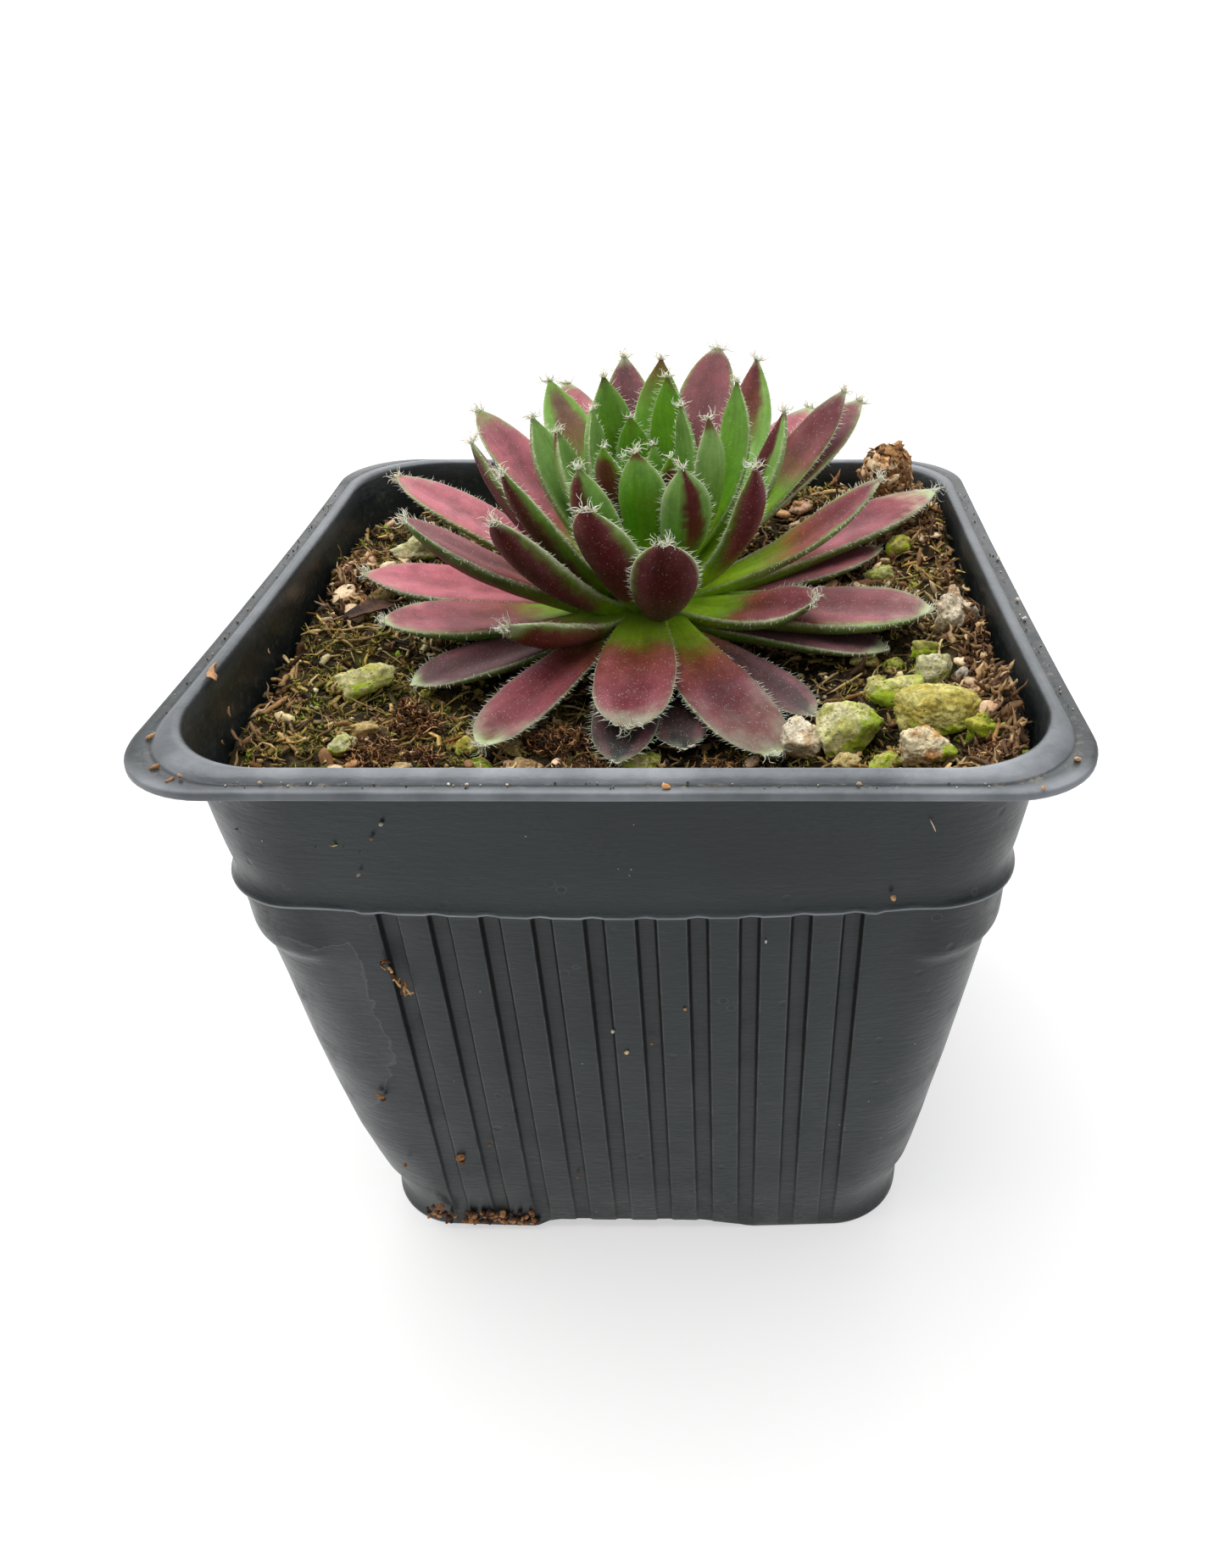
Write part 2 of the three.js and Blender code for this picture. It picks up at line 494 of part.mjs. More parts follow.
// ---------------------------------------------------------------------------
// scene graph
// ---------------------------------------------------------------------------
const group = new THREE.Group();
const plant = new THREE.Group();
const bed = new THREE.Group();
group.add(bed, plant);

function place(parent, name, body, color, roughness, metalness = 0) {
  const mesh = new THREE.Mesh(geometryOf(body),
    new THREE.MeshStandardMaterial({ color, roughness, metalness }));
  mesh.name = name;
  parent.add(mesh);
}

place(group, 'pot', potBody, 0x3c4345, 0.42);
place(bed, 'potting_mix', mixBody, 0x3a2b20, 0.95);
for (const [name, body, color] of stoneBodies) place(bed, name, body, color, 0.9);
place(bed, 'moss_clump', largest(clumpBody), 0x7c5a3a, 0.95);
place(bed, 'dead_leaf', largest(deadBody), 0x3b2a22, 0.85);
place(plant, 'rosette_stem', stemBody, 0x8aa83c, 0.6);
place(plant, 'center_bud', budBody, 0x3f7a2f, 0.5);
const TINT = { inner: 0x4c9440, middle: 0x5d4a3c, outer: 0x7c4a50, spread: 0x9a5c66, back: 0x94606a, lower: 0x6e4d55 };
for (const [name, body] of leafBodies) place(plant, name, body, TINT[name.split('_')[1]], 0.5);

export default group;
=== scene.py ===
import math

import bpy
import numpy as np
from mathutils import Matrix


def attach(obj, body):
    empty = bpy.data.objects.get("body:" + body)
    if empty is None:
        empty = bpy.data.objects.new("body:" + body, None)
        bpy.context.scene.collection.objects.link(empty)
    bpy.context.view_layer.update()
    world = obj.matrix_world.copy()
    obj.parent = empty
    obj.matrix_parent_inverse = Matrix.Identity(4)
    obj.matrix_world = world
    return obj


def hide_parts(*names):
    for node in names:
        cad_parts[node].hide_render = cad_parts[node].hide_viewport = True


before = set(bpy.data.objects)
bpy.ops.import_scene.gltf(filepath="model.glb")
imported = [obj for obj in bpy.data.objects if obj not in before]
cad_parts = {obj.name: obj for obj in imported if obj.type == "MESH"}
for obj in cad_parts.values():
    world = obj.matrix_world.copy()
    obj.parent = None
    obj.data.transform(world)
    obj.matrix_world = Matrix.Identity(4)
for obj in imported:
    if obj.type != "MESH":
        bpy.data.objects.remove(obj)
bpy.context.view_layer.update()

MM = 0.001
PI = math.pi

# ---------------------------------------------------------------------------
# the same driving numbers as the CAD part, in millimetres
# ---------------------------------------------------------------------------
AXIS = np.array([1.0, 8.0])
BUD = [
    [1.2, 75, 109.3, 17, 73.5, 10, 4.8, 0, 0],
    [1.4, 75, -125, 17.6, 69.4, 14, 5.2, 0, 0],
    [1.2, 75, -59.3, 15.5, 85.5, 8, 3.2, 0, 0],
    [1.2, 75, -112.9, 15.5, 74.1, 8, 2.8, 0, 0],
    [1.5, 75, -60, 15.9, 71.8, 12, 3.4, 0, 0],
]
LEAVES = [
    ["leaf_inner_01", 2.6, 73.2, -93.9, 19, 74.1, 22, 6, 0, 0.4],
    ["leaf_inner_02", 2.6, 73.2, -30, 21.8, 73.7, 34, 6.4, 0, 0.8],
    ["leaf_inner_03", 2.6, 73.5, 25, 20.5, 84.1, 36, 4.8, -10, 0],
    ["leaf_inner_04", 2.6, 73.2, 72.8, 23.2, 75, 14, 5.4, 0, -0.35],
    ["leaf_inner_05", 2.6, 73.4, 165, 20.4, 79.4, 22, 6, 0, 0],
    ["leaf_inner_06", 3, 73, 123.5, 23.6, 74.2, 8, 6.5, 0, 0],
    ["leaf_inner_07", 3, 73, -119.8, 20.5, 60.4, 28, 5.9, -10, 0],
    ["leaf_inner_08", 3, 73, -66.6, 19.8, 63.3, 26, 6.1, 10, 0.8],
    ["leaf_inner_09", 3, 72.8, 33.8, 24.7, 65.7, 44, 5.6, -10, -0.7],
    ["leaf_inner_10", 3, 72.8, 176.3, 19.8, 68.2, 20, 6.8, 8, 0],
    ["leaf_inner_11", 3, 72.5, 85.1, 27, 58.8, 8, 6.6, 0, 0],
    ["leaf_middle_01", 3.5, 72, 164.6, 22.6, 62.1, 26, 7.2, 8, 0],
    ["leaf_middle_02", 3.5, 72, -46.2, 24.5, 52.6, 52, 4.8, 10, 0.6],
    ["leaf_middle_03", 3.5, 72, 13.8, 24.7, 56.4, 50, 6.2, -5, 0],
    ["leaf_middle_04", 4, 71.5, -106.8, 22, 49.7, 38, 7.3, 0, 0.55],
    ["leaf_middle_05", 4.2, 71.3, -82.2, 21.5, 41.3, 55, 7.8, 0, 0.3],
    ["leaf_middle_06", 3.8, 71.5, 55.4, 31, 49, 26, 6.2, -15, -0.8],
    ["leaf_middle_07", 4, 71.5, 70.1, 32, 47.8, 10, 8.2, 0, 0],
    ["leaf_middle_08", 4, 71.5, 99.1, 30.5, 48.2, 10, 7.2, 0, 0],
    ["leaf_middle_09", 4, 71.5, 123.7, 29, 44.9, 8, 7.4, -5, 0],
    ["leaf_middle_10", 4, 71.5, -127.6, 28, 48.6, 30, 5, -4, 0],
    ["leaf_outer_01", 4.5, 70.5, -125.7, 27, 40.6, 34, 7, -12, 0],
    ["leaf_outer_02", 4.5, 70.5, -163, 26.5, 54.2, 24, 6.4, 0, 0],
    ["leaf_outer_03", 4.5, 70.5, 34.5, 33.5, 38.8, 18, 5.8, -25, 0],
    ["leaf_outer_04", 4.5, 70.5, -5.2, 28.5, 34.1, 26, 6.2, -20, 0],
    ["leaf_outer_05", 4.5, 70.5, 113.5, 33, 35.1, 5, 7.6, 0, 0],
    ["leaf_outer_06", 4.5, 70.5, 138.6, 32, 33, 4, 7.4, 0, 0],
    ["leaf_outer_07", 5, 70, -32.1, 19.4, 16.5, 22, 8.6, -12, 0],
    ["leaf_outer_08", 5, 70, -124.2, 21.9, 17.2, 26, 8.8, -22, 0],
    ["leaf_outer_09", 4.5, 70.5, 36.6, 35.5, 32, 4, 7, -15, 0],
    ["leaf_outer_10", 4.5, 70.5, 49.2, 33, 30.4, 0, 8, 0, 0],
    ["leaf_outer_11", 5, 70, -150.9, 29.3, 33.1, 20, 8.2, 8, 0],
    ["leaf_outer_12", 5, 70, -91.2, 26, -1.7, -20, 9.2, 0, 0],
    ["leaf_spread_01", 5.5, 69, 153.9, 35, 18.6, 0, 7.6, 0, 0],
    ["leaf_spread_02", 5.5, 69, 178.8, 31.1, 7.4, 4, 9.2, 4, 0],
    ["leaf_spread_03", 5.5, 69.2, -160.8, 27.7, 5.8, 8, 8.8, 4, 0],
    ["leaf_spread_04", 5.5, 69, 25.2, 38, 13.4, 4, 9, 0, 0],
    ["leaf_spread_05", 5.5, 69.5, -17.9, 30.5, 7.5, 4, 10.2, -6, 0],
    ["leaf_spread_06", 5.5, 69, -117.3, 30.3, -2.8, -12, 7.2, 0, 0],
    ["leaf_spread_07", 5.5, 69, -65.7, 30.9, -3.3, -18, 8.9, 0, -0.5],
    ["leaf_back_01", 5.5, 69, 72, 27, 20, 4, 8.8, 0, 0],
    ["leaf_back_02", 5.5, 69, 99, 26, 17, 4, 8.8, 0, 0],
    ["leaf_back_03", 5.5, 69, 127, 27, 15, 4, 8.8, 0, 0],
    ["leaf_lower_01", 6, 67.8, -143.9, 26.6, 0.4, -8, 7.8, 0, 0],
    ["leaf_lower_02", 6, 67.5, -52.8, 25.9, 0, -10, 6.2, 0, 0],
    ["leaf_lower_03", 6, 67.5, -93, 28, -1.4, -8, 7.6, 0, 0],
    ["leaf_lower_04", 6, 67.5, -80.5, 25.6, -1.6, -8, 7.6, 0, 0],
    ["leaf_lower_05", 6, 67.8, -25.1, 25.7, 3.8, -4, 7.2, 0, 0],
    ["leaf_lower_06", 6, 67.8, 18.7, 26.7, 10.1, 0, 6.6, 0, 0],
]
LEVELS = np.array([
    [-40, -38, 68.4], [-40, -23, 69.0], [-40, -12, 69.5], [-40, 0, 70.2],
    [-40, 12, 71.4], [-40, 26, 70.6], [-38, 38, 69.6], [-18, 40, 69.6],
    [4, 40, 70.6], [24, 39, 73.0], [38, 38, 74.6], [40, 22, 74.4],
    [40, 6, 73.6], [40, -8, 73.4], [40, -24, 74.2], [38, -38, 74.0],
    [20, -40, 69.4], [0, -40, 67.6], [-20, -40, 67.2],
    [1, 8, 64.6], [-12, 8, 64.4], [14, 8, 64.6], [1, -8, 63.6], [1, 24, 66.6],
    [-14, -10, 63.4], [16, -8, 63.6], [-26, -12, 65.4], [-27, 8, 66.2],
    [-12, -26, 64.6], [2, -26, 64.2], [14, -24, 64.6], [-28, -30, 66.4],
    [24, -24, 66.6], [28, -8, 67.0], [29, 8, 67.6], [26, 24, 69.6],
    [34, -18, 70.4], [34, 0, 69.8], [-24, 28, 67.0], [32, -30, 70.2],
], float)


# ---------------------------------------------------------------------------
# number helpers
# ---------------------------------------------------------------------------
def hash01(ix, iy, iz, seed):
    n = (ix * 73856093) ^ (iy * 19349663) ^ (iz * 83492791) ^ (seed * 40503 + 12345)
    n = n & 0x7FFFFFFF
    n = ((n ^ (n >> 13)) * 1274126177) & 0x7FFFFFFF
    n = ((n ^ (n >> 16)) * 1103515245) & 0x7FFFFFFF
    return ((n ^ (n >> 11)) & 0xFFFFF) / 1048575.0


def vnoise(p, seed=0):
    """Smooth lattice noise from -1 to 1 at points p, whose cells are 1 wide."""
    shape = p.shape[:-1]
    q = p.reshape(-1, 3)
    i = np.floor(q).astype(np.int64)
    f = q - i
    u = f * f * f * (f * (f * 6 - 15) + 10)
    out = np.zeros(len(q))
    for dx in (0, 1):
        wx = u[:, 0] if dx else 1 - u[:, 0]
        for dy in (0, 1):
            wy = u[:, 1] if dy else 1 - u[:, 1]
            for dz in (0, 1):
                wz = u[:, 2] if dz else 1 - u[:, 2]
                out += wx * wy * wz * hash01(i[:, 0] + dx, i[:, 1] + dy, i[:, 2] + dz, seed)
    return (out * 2 - 1).reshape(shape)


def fbm(p, octaves=3, seed=0, gain=0.5):
    total, amp, norm, q = 0.0, 1.0, 0.0, np.asarray(p, float)
    for o in range(octaves):
        total = total + amp * vnoise(q, seed + 17 * o)
        norm += amp
        amp *= gain
        q = q * 2.03 + 3.71
    return total / norm


def smooth(a, b, x):
    t = np.clip((x - a) / (b - a), 0.0, 1.0)
    return t * t * (3 - 2 * t)


def curve(table):
    """Smooth line through a table of (x, y), without overshoot."""
    x = np.array([r[0] for r in table], float)
    y = np.array([r[1] for r in table], float)
    h = np.diff(x)
    d = np.diff(y) / h
    m = np.zeros_like(y)
    m[0], m[-1] = d[0], d[-1]
    for k in range(1, len(x) - 1):
        m[k] = 0.0 if d[k - 1] * d[k] <= 0 else 2 * d[k - 1] * d[k] / (d[k - 1] + d[k])

    def f(t):
        t = np.clip(t, x[0], x[-1])
        i = np.clip(np.searchsorted(x, t, side="right") - 1, 0, len(x) - 2)
        s = (t - x[i]) / h[i]
        return ((2 * s ** 3 - 3 * s ** 2 + 1) * y[i] + (s ** 3 - 2 * s ** 2 + s) * h[i] * m[i]
                + (3 * s ** 2 - 2 * s ** 3) * y[i + 1] + (s ** 3 - s ** 2) * h[i] * m[i + 1])
    return f


def lin(code):
    """A colour written as RRGGBB, as linear light."""
    c = np.array([int(code[i:i + 2], 16) / 255.0 for i in (0, 2, 4)])
    return np.where(c <= 0.04045, c / 12.92, ((c + 0.055) / 1.055) ** 2.4)


def mix(a, b, w):
    w = np.asarray(w)[..., None]
    return a * (1 - w) + b * w


def unit(v):
    return v / np.maximum(np.linalg.norm(v, axis=-1, keepdims=True), 1e-9)


# ---------------------------------------------------------------------------
# mesh helpers
# ---------------------------------------------------------------------------
def volume(verts, faces):
    total = 0.0
    for f in faces:
        a = verts[f[:, 0]]
        for k in range(1, f.shape[1] - 1):
            total += np.einsum("ij,ij->i", a, np.cross(verts[f[:, k]], verts[f[:, k + 1]])).sum()
    return total / 6


def piece(name, verts, faces, colours, material, nodes=(), extra=None, crease=None, outward=True):
    """A closed mesh in the row frame that rides on the body, with vertex colours."""
    faces = [np.asarray(f, np.int64) for f in faces if len(f)]
    verts = np.asarray(verts, float)
    if outward and volume(verts - verts.mean(0), faces) < 0:
        faces = [f[:, ::-1] for f in faces]
    me = bpy.data.meshes.new(name)
    me.vertices.add(len(verts))
    me.vertices.foreach_set("co", (verts * MM).astype(np.float32).ravel())
    loops = np.concatenate([f.ravel() for f in faces]).astype(np.int32)
    totals = np.concatenate([np.full(len(f), f.shape[1]) for f in faces])
    starts = np.concatenate([[0], np.cumsum(totals)[:-1]]).astype(np.int32)
    me.loops.add(len(loops))
    me.loops.foreach_set("vertex_index", loops)
    me.polygons.add(len(totals))
    me.polygons.foreach_set("loop_start", starts)
    me.update(calc_edges=True)
    me.polygons.foreach_set("use_smooth", np.ones(len(totals), bool))
    if colours is not None:
        rgba = np.ones((len(verts), 4), np.float32)
        rgba[:, :3] = np.clip(colours, 0, 1)
        me.attributes.new("Col", "FLOAT_COLOR", "POINT").data.foreach_set("color", rgba.ravel())
    for key, values in (extra or {}).items():
        values = np.asarray(values, np.float32)
        kind = "FLOAT" if values.ndim == 1 else "FLOAT_VECTOR"
        field = "value" if values.ndim == 1 else "vector"
        me.attributes.new(key, kind, "POINT").data.foreach_set(field, values.ravel())
    if crease is not None:
        me.set_sharp_from_angle(angle=math.radians(crease))
    me.materials.append(material)
    me.validate()
    o = bpy.data.objects.new(name, me)
    bpy.context.scene.collection.objects.link(o)
    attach(o, "root")
    if nodes:
        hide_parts(*nodes)
    return o


class Heap:
    """Gathers many small closed bodies into one mesh."""

    def __init__(self):
        self.v, self.q, self.t, self.c, self.n = [], [], [], [], 0

    def add(self, verts, tris=None, quads=None, colours=None):
        if tris is not None and len(tris):
            self.t.append(np.asarray(tris) + self.n)
        if quads is not None and len(quads):
            self.q.append(np.asarray(quads) + self.n)
        self.v.append(verts)
        self.c.append(np.broadcast_to(colours, verts.shape))
        self.n += len(verts)

    def piece(self, name, material, slot, nodes=()):
        faces = []
        if self.t:
            faces.append(np.concatenate(self.t))
        if self.q:
            faces.append(np.concatenate(self.q))
        return piece(name, np.concatenate(self.v), faces, np.concatenate(self.c), material, nodes, outward=False)


def tubes(paths, radii, sides, rng, flat=None, ref=None):
    """Closed tapering strands along many paths (n, m, 3); flat squeezes them."""
    n, m, _ = paths.shape
    tang = unit(np.gradient(paths, axis=1))
    if ref is None:
        ref = unit(rng.normal(size=(n, 1, 3)))
    side = unit(np.cross(tang, ref))
    up = np.cross(side, tang)
    k = m - 2
    a = np.arange(sides) * 2 * PI / sides
    fl = 1.0 if flat is None else np.asarray(flat).reshape(-1, 1, 1, 1)
    ring = (paths[:, 1:-1, None, :] + radii[:, 1:-1, None, None]
            * (np.cos(a)[None, None, :, None] * side[:, 1:-1, None, :]
               + fl * np.sin(a)[None, None, :, None] * up[:, 1:-1, None, :]))
    verts = np.concatenate([paths[:, :1], ring.reshape(n, k * sides, 3), paths[:, -1:]], 1)
    per = k * sides + 2
    i = np.arange(sides)
    j = (i + 1) % sides
    tri = [np.stack([np.zeros(sides, int), 1 + i, 1 + j], 1),
           np.stack([1 + (k - 1) * sides + j, 1 + (k - 1) * sides + i, np.full(sides, per - 1)], 1)]
    quad = [np.stack([1 + r * sides + i, 1 + (r + 1) * sides + i, 1 + (r + 1) * sides + j, 1 + r * sides + j], 1)
            for r in range(k - 1)]
    shift = (np.arange(n) * per)[:, None, None]
    tris = (np.concatenate(tri)[None] + shift).reshape(-1, 3)
    quads = (np.concatenate(quad)[None] + shift).reshape(-1, 4) if quad else None
    return verts.reshape(-1, 3), tris, quads, per


def ball(level):
    """Unit icosphere as arrays."""
    g = (1 + 5 ** 0.5) / 2
    v = [(-1, g, 0), (1, g, 0), (-1, -g, 0), (1, -g, 0), (0, -1, g), (0, 1, g), (0, -1, -g), (0, 1, -g),
         (g, 0, -1), (g, 0, 1), (-g, 0, -1), (-g, 0, 1)]
    v = [np.array(p) / np.linalg.norm(p) for p in v]
    f = [(0, 11, 5), (0, 5, 1), (0, 1, 7), (0, 7, 10), (0, 10, 11), (1, 5, 9), (5, 11, 4), (11, 10, 2),
         (10, 7, 6), (7, 1, 8), (3, 9, 4), (3, 4, 2), (3, 2, 6), (3, 6, 8), (3, 8, 9), (4, 9, 5),
         (2, 4, 11), (6, 2, 10), (8, 6, 7), (9, 8, 1)]
    for _ in range(level):
        seen, nf = {}, []

        def mid(a, b):
            key = (min(a, b), max(a, b))
            if key not in seen:
                p = v[a] + v[b]
                v.append(p / np.linalg.norm(p))
                seen[key] = len(v) - 1
            return seen[key]
        for a, b, c in f:
            ab, bc, ca = mid(a, b), mid(b, c), mid(c, a)
            nf += [(a, ab, ca), (b, bc, ab), (c, ca, bc), (ab, bc, ca)]
        f = nf
    return np.array(v), np.array(f)


BALLS = {k: ball(k) for k in (0, 1, 2, 3, 4)}


def turns(n, rng):
    """n random rotation matrices."""
    q = rng.normal(size=(n, 4))
    q /= np.linalg.norm(q, axis=1, keepdims=True)
    w, x, y, z = q.T
    return np.stack([
        np.stack([1 - 2 * (y * y + z * z), 2 * (x * y - z * w), 2 * (x * z + y * w)], -1),
        np.stack([2 * (x * y + z * w), 1 - 2 * (x * x + z * z), 2 * (y * z - x * w)], -1),
        np.stack([2 * (x * z - y * w), 2 * (y * z + x * w), 1 - 2 * (x * x + y * y)], -1)], 1)


# ---------------------------------------------------------------------------
# material helpers
# ---------------------------------------------------------------------------
class Graph:
    def __init__(self, name):
        self.mat = bpy.data.materials.new(name)
        self.mat.use_nodes = True
        self.nt = self.mat.node_tree
        self.nt.nodes.clear()
        self.out = self.nt.nodes.new("ShaderNodeOutputMaterial")
        self.bsdf = self.nt.nodes.new("ShaderNodeBsdfPrincipled")
        self.nt.links.new(self.bsdf.outputs["BSDF"], self.out.inputs["Surface"])
        self.place = self.node("ShaderNodeTexCoord").outputs["Object"]

    def put(self, socket, value):
        if isinstance(value, bpy.types.NodeSocket):
            self.nt.links.new(value, socket)
        else:
            socket.default_value = value

    def node(self, kind, props=None, **ins):
        n = self.nt.nodes.new(kind)
        for k, v in (props or {}).items():
            setattr(n, k, v)
        for k, v in ins.items():
            self.put(n.inputs[k.replace("_", " ")], v)
        return n

    def set(self, **ins):
        for k, v in ins.items():
            self.put(self.bsdf.inputs[k.replace("_", " ")], v)

    def attr(self, name, output="Fac"):
        return self.node("ShaderNodeAttribute", {"attribute_name": name}).outputs[output]

    def noise(self, scale, detail=3.0, rough=0.55, vector=None, distortion=0.0):
        n = self.node("ShaderNodeTexNoise", None, Scale=scale, Detail=detail, Roughness=rough, Distortion=distortion)
        self.put(n.inputs["Vector"], vector or self.place)
        return n.outputs["Fac"]

    def cells(self, scale, output="Distance", feature="F1", vector=None, smoothness=None):
        n = self.node("ShaderNodeTexVoronoi", {"feature": feature}, Scale=scale)
        self.put(n.inputs["Vector"], vector or self.place)
        return n.outputs[output]

    def math(self, op, a, b=0.0, c=None):
        n = self.node("ShaderNodeMath", {"operation": op})
        self.put(n.inputs[0], a)
        self.put(n.inputs[1], b)
        if c is not None:
            self.put(n.inputs[2], c)
        return n.outputs[0]

    def ramp(self, value, a, b, lo=0.0, hi=1.0):
        n = self.node("ShaderNodeMapRange", {"interpolation_type": "SMOOTHSTEP"})
        self.put(n.inputs["Value"], value)
        self.put(n.inputs["From Min"], a)
        self.put(n.inputs["From Max"], b)
        self.put(n.inputs["To Min"], lo)
        self.put(n.inputs["To Max"], hi)
        return n.outputs[0]

    def blend(self, a, b, factor, kind="MIX"):
        n = self.nt.nodes.new("ShaderNodeMix")
        n.data_type = "RGBA"
        n.blend_type = kind
        pick = {s.identifier: s for s in n.inputs}
        for ident, value in (("Factor_Float", factor), ("A_Color", a), ("B_Color", b)):
            if isinstance(value, tuple):
                value = (*value[:3], 1.0)
            self.put(pick[ident], value)
        return next(s for s in n.outputs if s.identifier == "Result_Color")

    def times(self, colour, value):
        """colour with its brightness multiplied by a value."""
        n = self.node("ShaderNodeVectorMath", {"operation": "SCALE"})
        self.put(n.inputs[0], colour)
        self.put(n.inputs["Scale"], value)
        return n.outputs[0]

    def stretch(self, vector, sx, sy, sz):
        n = self.node("ShaderNodeVectorMath", {"operation": "MULTIPLY"})
        self.put(n.inputs[0], vector)
        n.inputs[1].default_value = (sx, sy, sz)
        return n.outputs[0]

    def bump(self, height, strength, distance):
        n = self.node("ShaderNodeBump", None, Strength=strength, Distance=distance)
        self.put(n.inputs["Height"], height)
        self.put(self.bsdf.inputs["Normal"], n.outputs["Normal"])


def rgb(code):
    return tuple(float(x) for x in lin(code))


def leaf_material(name, fuzz=1.0):
    g = Graph(name)
    col = g.attr("Col", "Color")
    vein = g.attr("leaf", "Vector")
    broad = g.noise(420, 3, 0.6)
    mottle = g.noise(1500, 4, 0.65)
    fine = g.noise(5200, 3, 0.6)
    streak = g.noise(1.0, 3, 0.6, g.stretch(vein, 1.7, 0.16, 1.0))
    tone = g.math("ADD", g.ramp(broad, 0.3, 0.7, 0.90, 1.10), g.ramp(mottle, 0.3, 0.7, -0.07, 0.07))
    tone = g.math("ADD", tone, g.ramp(streak, 0.3, 0.7, -0.09, 0.09))
    tone = g.math("ADD", tone, g.ramp(fine, 0.3, 0.7, -0.05, 0.05))
    col = g.times(col, tone)
    # minute glandular hairs catch the light as pale specks
    dots = g.cells(4300)
    lucky = g.noise(2300, 1, 0.5)
    speck = g.math("MULTIPLY", g.ramp(dots, 0.10, 0.30, 1.0, 0.0), g.ramp(lucky, 0.50, 0.62))
    speck = g.math("MULTIPLY", speck, g.math("MULTIPLY", g.attr("fuzz"), 0.52 * fuzz))
    col = g.blend(col, rgb("E2D8D0"), speck)
    # down seen as a faint pale veil broken into grains
    veil = g.math("MULTIPLY", g.ramp(g.noise(7800, 2, 0.6), 0.50, 0.66), g.ramp(g.noise(700, 3, 0.6), 0.35, 0.7))
    col = g.blend(col, rgb("B8A8A4"), g.math("MULTIPLY", veil, g.math("MULTIPLY", g.attr("fuzz"), 0.13)))
    # translucent pale line where the hairs stand on the margin
    rim = g.math("MULTIPLY", g.ramp(g.attr("edge"), 0.965, 1.0), g.ramp(mottle, 0.3, 0.7, 0.30, 1.0))
    col = g.blend(col, rgb("D6DCBC"), g.math("MULTIPLY", rim, g.attr("rim")))
    g.set(Base_Color=col, Roughness=g.ramp(mottle, 0.25, 0.75, 0.42, 0.60), Specular_IOR_Level=0.20,
          Sheen_Weight=0.04, Sheen_Roughness=0.5, Sheen_Tint=(0.90, 0.90, 0.86, 1.0),
          Subsurface_Weight=0.12, Subsurface_Scale=0.0012, Subsurface_Radius=(1.0, 0.7, 0.3))
    h = g.math("ADD", g.math("MULTIPLY", fine, 0.35), g.math("MULTIPLY", streak, 0.5))
    h = g.math("ADD", h, g.math("MULTIPLY", g.ramp(dots, 0.0, 0.35, 1.0, 0.0), 0.35))
    g.bump(h, 0.35, 0.00009)
    return g.mat


def hair_material():
    g = Graph("leaf_hair")
    tone = g.noise(2600, 2, 0.5)
    g.set(Base_Color=g.blend(rgb("F4F3E6"), rgb("DDDAC0"), g.ramp(tone, 0.35, 0.7)), Roughness=0.5,
          Specular_IOR_Level=0.4, Subsurface_Weight=0.25, Subsurface_Scale=0.0005)
    return g.mat


